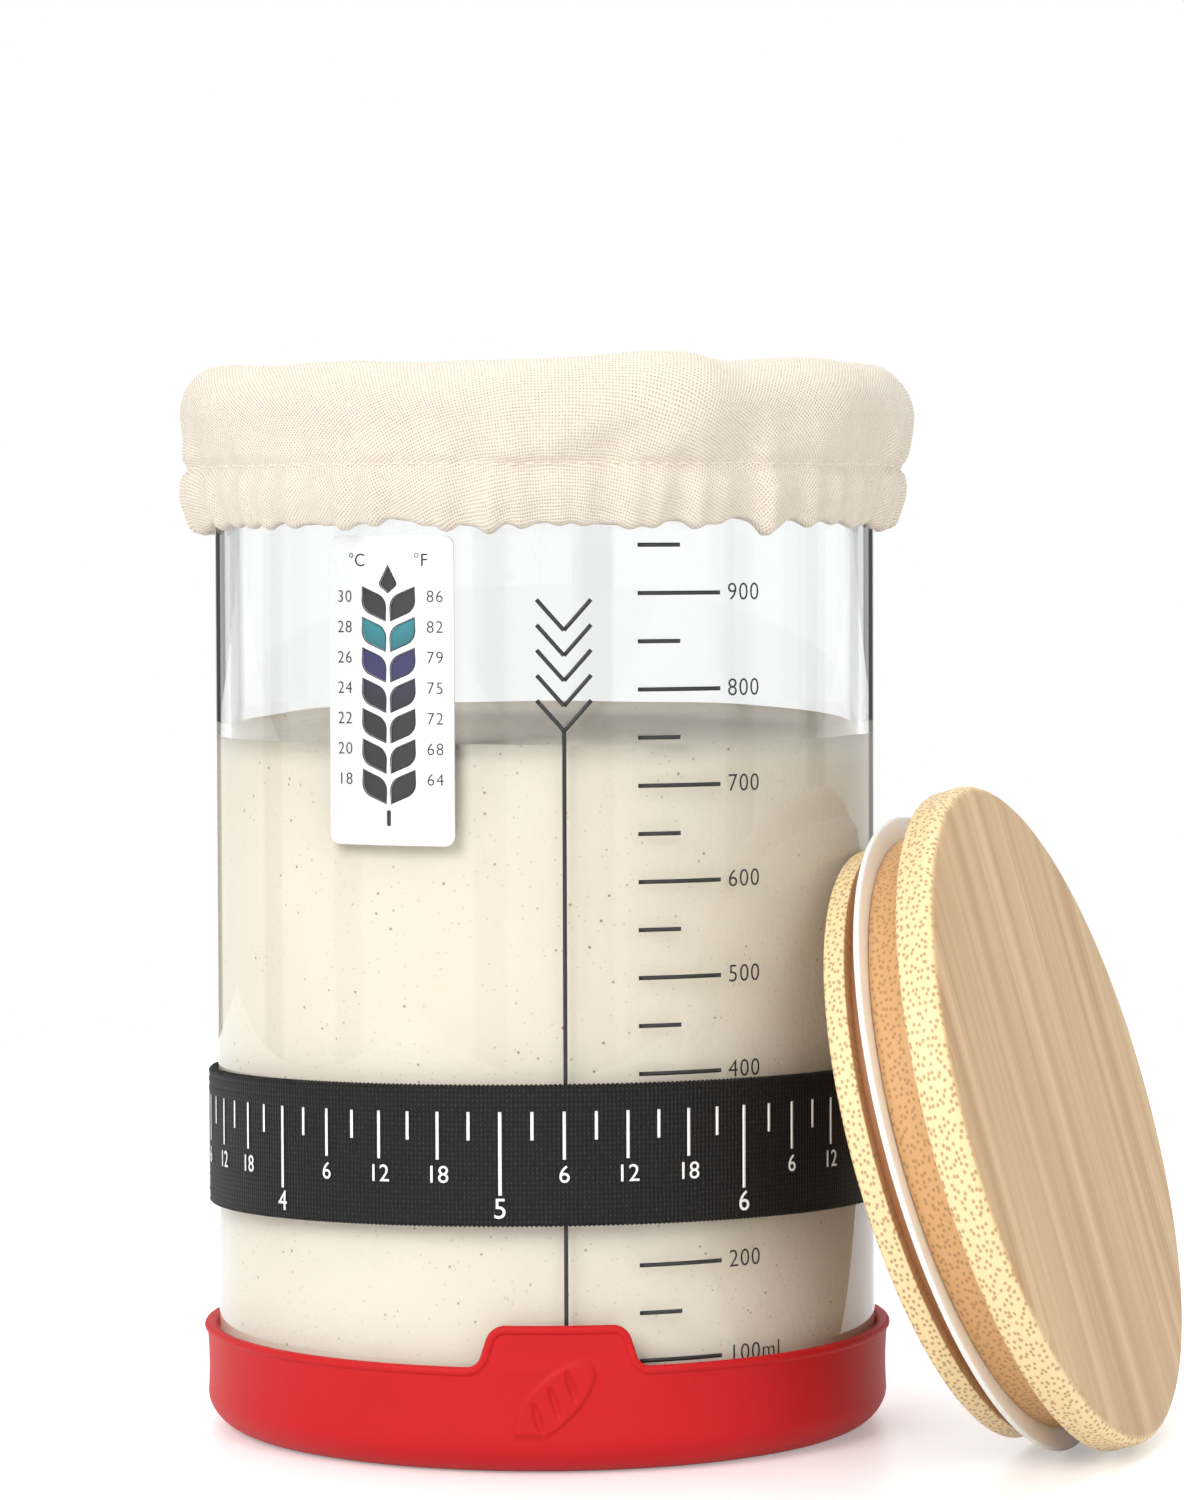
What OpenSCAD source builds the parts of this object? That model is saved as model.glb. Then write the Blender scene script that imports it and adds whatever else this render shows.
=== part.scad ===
// Sourdough starter jar: a straight glass jar of about one litre in a silicone sleeve, with a film
// thermometer, an elastic day band, a gathered cloth cover and a plugged bamboo lid that leans on the glass.
// Millimetres. The jar's axis is Z, the table is z = 0, and the sleeve's tab faces -Y.
// A bearing is an angle round the jar, counted from the tab towards +X.

/* [Glass jar] */
// Outer diameter of the glass
glass_d = 100; // [98:0.5:102]
// Height of the glass rim above the table
rim_z = 159; // [150:0.5:165]
// Thickness of the glass wall
glass_wall = 2; // [1.8:0.1:2.4]
// Thickness of the glass floor
glass_floor = 2.8; // [2.2:0.1:4]
// Radius of the jar's outer foot
foot_r = 6; // [5:0.5:8]

/* [Starter] */
// Height of the starter's surface above the table
starter_z = 105; // [60:1:130]

/* [Silicone sleeve] */
// Height of the sleeve's rim
sleeve_h = 15.8; // [14:0.1:18]
// Height of the tab's top edge
tab_h = 21.9; // [20:0.1:26]
// Width of the tab where it leaves the rim
tab_w = 23.8; // [20:0.1:30]
// Lean of the tab's sides from upright, in degrees
tab_slope = 18; // [5:1:25]
// Thickness of the sleeve's wall
sleeve_wall = 1.65; // [1.5:0.05:2.2]
// Thickness of the sleeve's floor
sleeve_floor = 1.8; // [1.5:0.1:3]
// Width of the bead along the rim and the tab's edge
bead_w = 1.3; // [1:0.1:1.8]
// Length of the loaf raised under the tab
loaf_l = 15.5; // [12:0.5:17]

/* [Film thermometer] */
// Width of the film round the glass
film_w = 20.2; // [18:0.1:24]
// Height of the film
film_h = 44.5; // [42:0.1:48]
// Height of the film's lower edge above the table
film_z = 90.5; // [85:0.1:95]
// Bearing of the film's middle, in degrees
film_bearing = -28.3; // [-40:0.1:-20]
// Pitch of the leaf windows
leaf_pitch = 4.38; // [4.2:0.01:4.6]
// Width of a leaf window
leaf_w = 3.83; // [3:0.01:4.2]
// Length of a leaf window's upright sides
leaf_side = 3.2; // [2.6:0.1:3.5]
// Number of pairs of leaf windows, one for each temperature
leaf_pairs = 7; // [3:1:7]

/* [Day band] */
// Width of the elastic band
band_w = 20.6; // [15:0.1:25]
// Thickness of the elastic band
band_t = 1.2; // [0.8:0.1:1.6]
// Height of the band's middle above the table
band_z = 44.6; // [40:0.1:55]
// Rise of the band towards the tab's side, in degrees
band_tip = 1.9; // [0:0.1:2]
// Rise of the band towards +X, in degrees
band_slant = 0.35; // [0:0.05:1]
// Arc of the sewn lap, in degrees
lap_arc = 38; // [20:1:60]
// Bearing of the lap's middle, in degrees
lap_bearing = 150; // [120:1:180]

/* [Cloth cover] */
// Largest radius of the cover, over the gathers
cover_r = 56.3; // [55:0.1:58]
// Height of the cover's lower edge above the table
hem_z = 135.8; // [132:0.1:140]
// Height of the seam that closes the hem
seam_z = 145.1; // [143:0.1:147]
// Width of the elastic inside the hem
elastic_w = 5; // [4:0.5:6]

/* [Bamboo lid] */
// Diameter of the lid's top disc
lid_d = 100; // [98:0.5:102]
// Thickness of the lid's top disc
disc_t = 5.8; // [5:0.1:8]
// Thickness of the whole lid
lid_t = 19.2; // [17:0.1:22]
// Diameter of the plug that goes into the mouth
plug_d = 89.8; // [88:0.1:92]
// Outer diameter of the seal's lip
seal_d = 96.6; // [96:0.1:97.5]
// Lean of the resting lid from upright, in degrees
lid_lean = 16.3; // [12:0.1:22]
// Bearing of the resting lid, in degrees
lid_bearing = 67.8; // [40:0.1:90]

/* [Hidden] */
$fn = 96;

far = 300;                          // longer than anything here, for cutting tools
glass_r = glass_d / 2;
inner_r = glass_r - glass_wall;
glass_z = sleeve_floor;             // the glass stands on the sleeve's floor
starter_gap = 0.05;
inner_foot_r = foot_r - glass_wall;

sleeve_gap = 0.25;
sleeve_in = glass_r + sleeve_gap;
sleeve_out = sleeve_in + sleeve_wall;
sleeve_foot = 1;                    // the cup's inner corner is this much tighter than the glass foot
waist_depth = 0.3;                  // the wall draws in this much below the bead
waist_r = 60;
waist_z = 9.2;
bead_reach = 0.5;                   // the bead stands out this far past the wall
bead_step = 0.3;                    // on the front stretch it does so in two steps, the lower one this far
cut_in = 1;                         // a tool starts or stops this far inside what it joins or cuts
tab_corner = 3;
tab_foot = 2.2;
tab_reach = 16;                     // half-width of the front stretch whose bead follows the tab
loaf_w = 6.6;
loaf_z = 10.9;
loaf_x = -0.7;
loaf_turn = 45;
loaf_lift = 0.35;
slash_floor = waist_depth + 0.1;    // the slashes go this deep, measured from the wall's outside
slash_pitch = 3.4;
slash_l = 4.4;
slash_w = 0.9;
slash_turn = 62;

film_t = 0.22;
film_gap = 0.02;
film_corner = 1.5;
crystal_margin = 1.2;
leaf_x = 0.4;                       // inner side of a leaf, from the film's middle line
leaf_rise = 1.6;                    // its outer side stands this much higher than its inner side
leaf_round = 2;
leaf_top_z = 122.8;                 // lowest corner of the top pair
tip_z = 126.85;                     // the tip is a kite: its lowest corner, its widest height and its point
tip_wide_z = 128;
tip_top_z = 130.7;
tip_w = 2.8;
tip_round = 0.5;
stem_z = 94.4;
stem_l = 2.3;
stem_w = 0.7;

band_gap = 0.25;
band_in = glass_r + band_gap;
lap_t = 1.0;
lap_sink = 0.2;                     // the lap's layer is sunk this far into the one under it

cover_gap = 0.35;
cloth_t = 1.2;
crown_r = 7.8;                      // rounding of the cover's shoulder, outside
crown_x = cover_r - crown_r;
crown_z = rim_z - 6;
dish = 2.2;                         // the cloth sags this much in the middle of the mouth
dish_start = 12;                    // and does most of it between these distances inside the shoulder
dish_end = 28;
dish_share = 0.75;
shoulder_drop = 1;                  // the shoulder's slope ends this far under the seam
hem_in = glass_r + cover_gap;
hem_out = cover_r - 1.1;
casing_t = 0.6;
hem_round = 1.6;
elastic_t = 1;

lid_r = lid_d / 2;
lid_round = 2.2;                    // rounding of the top disc's outer edge
lid_break = 0.6;                    // small roundings of the other edges
plug_r = plug_d / 2;
groove_top = 12.1;                  // depths of the groove's sides below the lid's top face
groove_bottom = 15.8;
groove_r = 42.4;
seal_fit = 0.04;
lip_t = 0.9;
hub_h = 1.9;                        // the ring's foot fills only this much of the groove
hub_r = 44;
seal_r = seal_d / 2;
lean_gap = 0.35;
// The plug's edge leans on the glass, and the seal's lip or the disc's rim stands on the table.
lid_x = glass_r + lean_gap + lid_t * cos(lid_lean) + plug_r * sin(lid_lean);
rim_low = lid_r * cos(lid_lean) + (disc_t - lid_break) * sin(lid_lean);
lip_low = seal_r * cos(lid_lean) + (groove_top + lip_t + seal_fit) * sin(lid_lean);
lid_z = max(rim_low, lip_low);

// Points along an arc of radius r that rounds the corner b between a and c
function unit(v) = v / norm(v);
function corner(a, b, c, r, steps = 6) = r <= 0 ? [b] :
    let (
        u = unit(a - b),
        v = unit(c - b),
        half = acos(u * v) / 2,
        centre = b + unit(u + v) * r / sin(half),
        first = b + u * r / tan(half) - centre,
        last = b + v * r / tan(half) - centre,
        start = atan2(first[1], first[0]),
        turn = (atan2(last[1], last[0]) - start + 540) % 360 - 180
    )
    [for (i = [0:steps]) centre + r * [cos(start + turn * i / steps), sin(start + turn * i / steps)]];
function rounded(points, radii) = let (n = len(points))
    [for (i = [0:n - 1]) each corner(points[(i + n - 1) % n], points[i], points[(i + 1) % n], radii[i])];

// Half-width of the tab at height z, on a line that lies inset inside its edge
function tab_half(z, inset) = tab_w / 2 - (z - sleeve_h) * tan(tab_slope) - inset / cos(tab_slope);
// Outline of the sleeve's front edge, moved in by inset: the rim, the tab's two sides and its top
function front_edge(inset) = let (
        low = sleeve_h - inset,
        high = tab_h - inset,
        foot = tab_half(low, inset),
        top = tab_half(high, inset),
        under = sleeve_h - 4
    )
    rounded([[-tab_reach, under], [tab_reach, under], [tab_reach, low], [foot, low],
            [top, high], [-top, high], [-foot, low], [-tab_reach, low]],
        [0, 0, 0, tab_foot + inset, tab_corner - inset, tab_corner - inset, tab_foot + inset, 0]);

// Half-section of a solid pot with a rounded foot
module pot_section(r, low, high, round) {
    translate([0, low + round]) square([r, high - low - round]);
    translate([0, low]) square([r - round, 2 * round]);
    translate([r - round, low + round]) circle(round);
}

module tube(inside, outside, low, high) {
    translate([0, 0, low]) difference() {
        cylinder(r = outside, h = high - low);
        translate([0, 0, -cut_in]) cylinder(r = inside, h = high - low + 2 * cut_in);
    }
}

// Extrudes an outline drawn as seen from the front, so that it reaches from the axis out past the wall
module from_front(bearing = 0) {
    rotate([0, 0, bearing]) rotate([90, 0, 0]) linear_extrude(height = 2 * glass_r) children();
}

// A leaf: the part that two equal circles share, point to point along X
module leaf(length, width) {
    r = (length * length + width * width) / (4 * width);
    intersection() {
        translate([0, r - width / 2]) circle(r);
        translate([0, width / 2 - r]) circle(r);
    }
}

module rounded_plate(w, h, r) {
    square([w - 2 * r, h], center = true);
    square([w, h - 2 * r], center = true);
    for (x = [-1, 1], y = [-1, 1]) translate([x * (w / 2 - r), y * (h / 2 - r)]) circle(r);
}

// Borosilicate glass: a straight wall, a rounded foot and a fire-polished rim
module glass_jar() {
    color("azure", 0.35) rotate_extrude() difference() {
        union() {
            pot_section(glass_r, glass_z, rim_z - glass_wall / 2, foot_r);
            translate([glass_r - glass_wall / 2, rim_z - glass_wall / 2]) circle(glass_wall / 2);
        }
        translate([0, glass_z + glass_floor]) pot_section(inner_r, 0, rim_z, inner_foot_r);
    }
}

// Risen flour-and-water starter, which fills the glass up to starter_z
module starter() {
    color("blanchedalmond") rotate_extrude()
        pot_section(inner_r - starter_gap, glass_z + glass_floor + starter_gap, starter_z, inner_foot_r);
}

// Moulded silicone: a cup with a drawn-in wall, a raised tab, and a bead that follows the rim over the tab
module silicone_sleeve() {
    color("crimson") {
        difference() {
            union() {
                rotate_extrude() difference() {
                    pot_section(sleeve_out, 0, sleeve_h, foot_r);
                    translate([sleeve_out - waist_depth + waist_r, waist_z]) circle(waist_r);
                }
                intersection() {
                    tube(sleeve_in - cut_in, sleeve_out, sleeve_h - bead_w - cut_in, tab_h);
                    from_front() polygon(front_edge(0));
                }
                sleeve_bead();
                raised_loaf();
            }
            rotate_extrude() pot_section(sleeve_in, sleeve_floor, far, foot_r - sleeve_foot);
        }
    }
}

module sleeve_bead() {
    difference() {
        rotate_extrude() translate([sleeve_out + bead_reach - bead_w / 2, sleeve_h - bead_w / 2])
            circle(bead_w / 2);
        from_front() translate([-tab_reach, 0]) square([2 * tab_reach, far]);
    }
    // On the front stretch the bead steps out twice, the second time on a narrower line.
    front_bead(0, bead_step);
    front_bead(bead_step, bead_reach);
}

module front_bead(inset, reach) {
    intersection() {
        tube(sleeve_in, sleeve_out + reach, sleeve_h - bead_w - cut_in, tab_h);
        from_front() difference() {
            polygon(front_edge(inset));
            polygon(front_edge(bead_w - inset));
            translate([-tab_reach, 0]) square([2 * tab_reach, sleeve_h - bead_w + inset]);
        }
    }
}

// A loaf in low relief, scored with three straight slashes
module raised_loaf() {
    difference() {
        intersection() {
            cylinder(r = sleeve_out - waist_depth + loaf_lift, h = sleeve_h);
            from_front() translate([loaf_x, loaf_z]) rotate(loaf_turn)
                polygon([for (a = [0:15:345]) [loaf_l / 2 * cos(a), loaf_w / 2 * sin(a)]]);
        }
        translate([0, slash_floor - sleeve_out, 0]) from_front() translate([loaf_x, loaf_z])
            rotate(loaf_turn) for (i = [-1:1])
                translate([i * slash_pitch, 0]) rotate(slash_turn) leaf(slash_l, slash_w);
    }
}

// A leaf window beside the middle line: a leaning four-sided outline with two sharp and two round corners
function window_outline(z) = rounded(
    [[leaf_x, z], [leaf_x + leaf_w, z + leaf_rise], [leaf_x + leaf_w, z + leaf_rise + leaf_side],
        [leaf_x, z + leaf_side]],
    [0, leaf_round, 0, leaf_round]);

// The thermometer's windows: a tip, pairs of leaves and a stem
module leaf_windows() {
    polygon(rounded([[0, tip_z], [tip_w / 2, tip_wide_z], [0, tip_top_z], [-tip_w / 2, tip_wide_z]],
        [0, tip_round, 0, tip_round]));
    for (i = [0:leaf_pairs - 1], side = [0, 1])
        mirror([side, 0]) polygon(window_outline(leaf_top_z - i * leaf_pitch));
    translate([0, stem_z]) rounded_plate(stem_w, stem_l, stem_w / 3);
}

// Printed face film with windows cut through it, stuck on the glass over the crystal layer
module thermometer_film() {
    film_in = glass_r + film_gap + film_t + film_gap;
    color("whitesmoke") intersection() {
        tube(film_in, film_in + film_t, film_z - cut_in, film_z + film_h + cut_in);
        from_front(film_bearing) difference() {
            translate([0, film_z + film_h / 2]) rounded_plate(film_w, film_h, film_corner);
            leaf_windows();
        }
    }
}

// Liquid-crystal layer, which changes colour with temperature behind the film's windows
module crystal_layer() {
    color("darkslategray") intersection() {
        tube(glass_r + film_gap, glass_r + film_gap + film_t, film_z, film_z + film_h);
        from_front(film_bearing) translate([0, film_z + film_h / 2])
            rounded_plate(film_w - crystal_margin, film_h - crystal_margin, film_corner);
    }
}

// Woven elastic drawn tight round the glass, a little aslant, with its ends lapped and sewn at the back
module day_band() {
    color("black") intersection() {
        union() {
            tube(band_in, band_in + band_t, 0, 2 * band_z);
            rotate_extrude(angle = lap_arc, start = lap_bearing - 90 - lap_arc / 2)
                translate([band_in + band_t - lap_sink, 0]) square([lap_t + lap_sink, 2 * band_z]);
        }
        translate([0, 0, band_z]) rotate([-band_tip, -band_slant, 0]) cube([far, far, band_w], center = true);
    }
}

// Linen cap over the mouth, one closed shell whose lower edge is turned up into a casing for the elastic
module cloth_cover() {
    color("linen") rotate_extrude() difference() {
        union() {
            cover_section(0);
            hem_section(0);
        }
        difference() {
            cover_section(cloth_t);
            hem_section(0);
        }
        translate([0, hem_z - cut_in]) square([hem_in, seam_z - hem_z + cut_in]);
        hem_section(casing_t);
    }
}

// Section of the cap, moved in by inset: a dished top, a round shoulder and a skirt down to the hem
module cover_section(inset) {
    shoulder = crown_r - inset;
    top = crown_z + shoulder;
    translate([crown_x, crown_z]) circle(shoulder);
    polygon([[0, hem_z + cut_in], [hem_out - inset, hem_z + cut_in],
        [hem_out - inset, seam_z - shoulder_drop], [crown_x + shoulder, crown_z], [crown_x, top],
        [crown_x - dish_start, top - dish * dish_share], [crown_x - dish_end, top - dish], [0, top - dish]]);
}

module hem_section(inset) {
    translate([(hem_in + hem_out) / 2, (hem_z + seam_z) / 2])
        rounded_plate(hem_out - hem_in - 2 * inset, seam_z - hem_z - 2 * inset, hem_round - inset);
}

// Flat elastic that draws the hem in
module hem_elastic() {
    elastic_in = hem_in + casing_t + film_gap;
    middle = (hem_z + seam_z) / 2;
    color("ivory") tube(elastic_in, elastic_in + elastic_t, middle - elastic_w / 2, middle + elastic_w / 2);
}

// Stands the lid, which is drawn plug up with its top face at z = 0, on the table against the glass
module leaning() {
    rotate([0, 0, lid_bearing - 90]) translate([lid_x, 0, lid_z]) rotate([0, -90 - lid_lean, 0]) children();
}

// Turned bamboo: a round-edged disc and a plug with a groove for the seal
module bamboo_lid() {
    color("burlywood") leaning() rotate_extrude() difference() {
        union() {
            pot_section(lid_r, 0, disc_t - lid_break, lid_round);
            translate([0, cut_in]) square([lid_r - lid_break, disc_t - cut_in]);
            translate([lid_r - lid_break, disc_t - lid_break]) circle(lid_break);
            translate([0, cut_in]) square([plug_r, lid_t - lid_break - cut_in]);
            translate([0, cut_in]) square([plug_r - lid_break, lid_t - cut_in]);
            translate([plug_r - lid_break, lid_t - lid_break]) circle(lid_break);
        }
        translate([groove_r, groove_top]) square([far, groove_bottom - groove_top]);
    }
}

// Silicone ring seated in the plug's groove, with one thin lip that presses on the inside of the mouth
module lid_seal() {
    low = groove_top + seal_fit;
    color("white") leaning() rotate_extrude() {
        translate([groove_r + seal_fit, low]) square([hub_r - groove_r - seal_fit, hub_h]);
        polygon([[hub_r - cut_in, low], [seal_r - lip_t / 2, low], [seal_r, low + lip_t / 2],
            [seal_r - lip_t / 3, low + lip_t], [hub_r + cut_in, low + lip_t], [hub_r - cut_in, low + hub_h]]);
    }
}

silicone_sleeve();
glass_jar();
starter();
thermometer_film();
crystal_layer();
day_band();
cloth_cover();
hem_elastic();
bamboo_lid();
lid_seal();
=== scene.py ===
"""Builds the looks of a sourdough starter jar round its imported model, as a Blender add-on that is run as a script.

Each new piece is a surface on a grid of two parameters: a profile turned round an axis, or a section carried
along a path. The jar's axis is Z, the table is z = 0, and the sleeve's tab faces -Y. A bearing is an angle round
the jar, counted from the tab towards +X. Lengths are metres.
"""

import math

import bpy
import numpy as np
from bpy.props import FloatProperty, FloatVectorProperty, IntProperty, PointerProperty
from mathutils import Matrix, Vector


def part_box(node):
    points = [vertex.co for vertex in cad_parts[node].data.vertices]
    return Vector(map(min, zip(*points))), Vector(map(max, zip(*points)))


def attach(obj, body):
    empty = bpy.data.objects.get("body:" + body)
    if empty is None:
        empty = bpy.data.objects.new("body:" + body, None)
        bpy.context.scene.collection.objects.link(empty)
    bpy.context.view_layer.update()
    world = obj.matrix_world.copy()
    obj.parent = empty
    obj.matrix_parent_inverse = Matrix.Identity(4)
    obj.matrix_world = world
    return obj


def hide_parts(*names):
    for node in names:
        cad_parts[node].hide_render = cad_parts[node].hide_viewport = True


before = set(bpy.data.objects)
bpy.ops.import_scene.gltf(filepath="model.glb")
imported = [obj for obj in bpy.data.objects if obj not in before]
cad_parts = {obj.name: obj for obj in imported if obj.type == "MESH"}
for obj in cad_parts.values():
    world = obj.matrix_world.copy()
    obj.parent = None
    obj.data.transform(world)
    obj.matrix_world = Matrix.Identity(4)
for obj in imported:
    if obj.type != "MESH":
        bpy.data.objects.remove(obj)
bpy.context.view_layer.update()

bl_info = {
    "name": "Sourdough Starter Jar",
    "version": (1, 0, 0),
    "blender": (4, 5, 0),
    "location": "3D View > Sidebar > Starter Jar",
    "description": "Glass starter jar with its sleeve, thermometer, day band, cloth cover and bamboo lid",
    "category": "Add Mesh",
}

MM = 0.001
TURN = 2 * math.pi
FRONT = -math.pi / 2                    # angle in the XY plane of bearing zero
PRINT_LIFT = 0.02 * MM                  # printing ink lies this far off what carries it
PRINT_THICKNESS = 0.04 * MM
LEAF_PITCH = 4.38 * MM                  # of the thermometer's pairs of leaf windows
LEAF_LOW = 122.8 * MM                   # lowest corner of the top pair
LEAF_RISE = 0.42                        # slope of a leaf's long sides, away from the middle line
VIEW_YAW = math.radians(2.31)           # the camera looks this far to the right of +Y

sleeve_low, sleeve_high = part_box("silicone_sleeve")
glass_low, glass_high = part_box("glass_jar")
starter_low, starter_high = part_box("starter")
film_low, film_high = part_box("thermometer_film")
band_low, band_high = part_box("day_band")
cover_low, cover_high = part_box("cloth_cover")

GLASS_R = glass_high.x
GLASS_BASE = glass_low.z
RIM_Z = glass_high.z


def linear(code):
    """Linear RGBA of an sRGB hex colour: c/12.92 near black, and ((c + 0.055)/1.055)^2.4 above."""
    values = [int(code[i:i + 2], 16) / 255 for i in (0, 2, 4)]
    return tuple(c / 12.92 if c <= 0.04045 else ((c + 0.055) / 1.055) ** 2.4 for c in values) + (1.0,)


def length(name, description, value):
    """A length that a user may change."""
    return FloatProperty(name=name, description=description, default=value, unit="LENGTH", precision=5)


def angle(name, description, degrees):
    """An angle that a user may change."""
    return FloatProperty(name=name, description=description, default=math.radians(degrees), subtype="ANGLE")


def colour(name, description, code):
    """A colour that a user may change, from its sRGB hex value."""
    return FloatVectorProperty(name=name, description=description, default=linear(code), size=4,
                               min=0, max=1, subtype="COLOR")


class StarterJarSizes(bpy.types.PropertyGroup):
    """Sizes of the jar's pieces."""
    wall: length("Glass wall", "Thickness of the glass wall", 2.0 * MM)
    floor: length("Glass floor", "Thickness of the glass floor", 2.8 * MM)
    foot: length("Foot radius", "Rounding of the glass foot", 6.0 * MM)
    sleeve_height: length("Sleeve height", "Height of the sleeve's rim", 15.8 * MM)
    sleeve_wall: length("Sleeve wall", "Thickness of the sleeve's wall", 1.65 * MM)
    tab_width: length("Tab width", "Width of the tab where it leaves the rim", 23.8 * MM)
    tab_slope: angle("Tab slope", "Lean of the tab's sides from upright", 18.0)
    bead: length("Bead", "Width of the bead along the rim", 1.3 * MM)
    scale_step: length("Scale step", "Height of 50 millilitres on the printed scale", 6.9 * MM)
    scale_start: length("Scale start", "Height of the 100 millilitre mark", 16.26 * MM)
    scale_bearing: angle("Scale bearing", "Bearing where the scale's lines start", 13.6)
    pointer_bearing: angle("Pointer bearing", "Bearing of the long printed line", 1.3)
    film_bearing: angle("Film bearing", "Bearing of the thermometer's middle", -28.3)
    band_height: length("Band height", "Height of the day band's middle", 44.6 * MM)
    band_width: length("Band width", "Width of the day band", 20.6 * MM)
    band_thickness: length("Band thickness", "Thickness of the day band", 1.2 * MM)
    band_tip: angle("Band tip", "Rise of the band towards the tab's side", 1.9)
    band_slant: angle("Band slant", "Rise of the band towards +X", 0.35)
    band_day: angle("Band day", "Bearing of the fifth day's mark", -9.3)
    day_turn: angle("Day turn", "Turn of the band from one day to the next", 41.15)
    lap_bearing: angle("Lap bearing", "Bearing of the middle of the band's sewn lap", 150.0)
    seam_height: length("Seam height", "Height of the seam above the cover's gathered hem", 145.1 * MM)
    gathers: IntProperty(name="Gathers", description="Number of gathers round the hem", default=64, min=20, max=120)
    folds: IntProperty(name="Folds", description="Number of folds above the seam", default=26, min=8, max=60)
    lid_radius: length("Lid radius", "Radius of the lid's top disc", 50.0 * MM)
    lid_thickness: length("Lid thickness", "Thickness of the whole lid", 19.2 * MM)
    lid_lean: angle("Lid lean", "Lean of the resting lid from upright", 16.3)
    lid_bearing: angle("Lid bearing", "Bearing of the resting lid", 67.8)


class StarterJarColours(bpy.types.PropertyGroup):
    """Colours of the jar's materials."""
    silicone: colour("Silicone", "Moulded red silicone", "CF2024")
    dough: colour("Starter", "Risen flour and water", "FFF9EC")
    dough_dark: colour("Starter shade", "Wetter parts of the starter", "F9EFDA")
    bran: colour("Bran", "Specks of bran", "8A6A44")
    ink: colour("Ink", "Black enamel print on glass", "1C1D1F")
    foil: colour("Foil", "Silver face film", "F1F2F3")
    elastic: colour("Elastic", "Dyed black elastic", "0C0C0D")
    linen: colour("Linen", "Unbleached linen", "ECE2D2")
    # Painted shade for the gaps between the linen threads.
    linen_gap: colour("Linen gaps", "Gaps between the linen threads", "B59A78")
    bamboo: colour("Bamboo face", "Bamboo with its fibres lying in the surface", "D8B98E")
    bamboo_dark: colour("Bamboo streaks", "Darker fibres in the bamboo", "A87C4C")
    bamboo_end: colour("Bamboo edge", "Bamboo where its fibres come out of the surface", "F3D9A6")
    seal: colour("Seal", "White silicone", "FCFAF6")


def sizes():
    """The scene's size settings."""
    return bpy.context.scene.starter_jar_sizes


def colours():
    """The scene's colour settings."""
    return bpy.context.scene.starter_jar_colours


# Geometry

def arc(x, y, radius, start, end, steps):
    """Points (x + r cos a, y + r sin a) with a running from start to end, in degrees."""
    a = np.radians(np.linspace(start, end, steps + 1))
    return np.stack([x + radius * np.cos(a), y + radius * np.sin(a)], 1)


def smooth_step(value, low, high):
    """3t^2 - 2t^3, where t runs from 0 at low to 1 at high."""
    t = np.clip((value - low) / (high - low), 0, 1)
    return t * t * (3 - 2 * t)


def ripple(x, y, pitch, seed, waves=9):
    """Mean of sine waves of about that pitch that run in random directions over the plane of x and y."""
    draw = np.random.default_rng(seed)
    total = 0
    for _ in range(waves):
        way = draw.uniform(0, TURN)
        number = TURN / (pitch * draw.uniform(0.7, 1.5))
        total = total + np.sin(number * (x * math.cos(way) + y * math.sin(way)) + draw.uniform(0, TURN))
    return total / math.sqrt(waves)


def around(radius, angles, z):
    """Points (r cos a, r sin a, z); the three arrays are spread over one grid."""
    radius, angles, z = np.broadcast_arrays(radius, angles, z)
    return np.stack([radius * np.cos(angles), radius * np.sin(angles), z], -1)


def turned(profile, columns):
    """A profile of (radius, height) points turned round Z in equal steps."""
    angles = np.arange(columns) * TURN / columns
    return around(profile[:, :1], angles[None, :], profile[:, 1:])


def grid_faces(rows, columns, wrap_rows=False, poles=True, wrap_columns=True):
    """Quads of a grid, with rows running along the profile and columns round it, and the vertex of each grid point.

    Columns close on themselves unless told otherwise. Rows close too for a ring, and with poles the whole first
    and last rows are one vertex each, so their quads are triangles.
    """
    index = np.arange(rows * columns).reshape(rows, columns)
    if poles:
        index[0, :] = 0
        index[-1, :] = rows * columns - 1
    upper = np.roll(index, -1, 0) if wrap_rows else index[1:]
    lower = index if wrap_rows else index[:-1]
    if wrap_columns:
        right_lower, right_upper = np.roll(lower, -1, 1), np.roll(upper, -1, 1)
    else:
        right_lower, right_upper = lower[:, 1:], upper[:, 1:]
        lower, upper = lower[:, :-1], upper[:, :-1]
    quads = np.stack([lower, right_lower, right_upper, upper], -1)
    if not poles:
        return quads.reshape(-1, 4).tolist()
    first = quads[0][:, [0, 2, 3]].tolist()
    last = quads[-1][:, [0, 1, 2]].tolist()
    return first + quads[1:-1].reshape(-1, 4).tolist() + last


def make_piece(name, points, faces, material, body, flat_map=None):
    """A smooth mesh piece that rides on a body. flat_map gives each point its place on the flat stuff, as a UV map."""
    points = np.asarray(points, float).reshape(-1, 3)
    used = np.unique(np.concatenate([np.ravel(f) for f in faces]))
    renumber = np.full(len(points), -1)
    renumber[used] = np.arange(len(used))
    mesh = bpy.data.meshes.new(name)
    mesh.from_pydata(points[used].tolist(), [], [[int(renumber[v]) for v in f] for f in faces])
    mesh.validate()
    mesh.update()
    mesh.polygons.foreach_set("use_smooth", [True] * len(mesh.polygons))
    mesh.materials.append(material)
    if flat_map is not None:
        corner = np.zeros(len(mesh.loops), np.int32)
        mesh.loops.foreach_get("vertex_index", corner)
        layer = mesh.uv_layers.new(name="flat")
        layer.data.foreach_set("uv", np.asarray(flat_map, float).reshape(-1, 2)[used][corner].ravel())
    piece = bpy.data.objects.new(name, mesh)
    bpy.context.scene.collection.objects.link(piece)
    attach(piece, body)
    return piece


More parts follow.
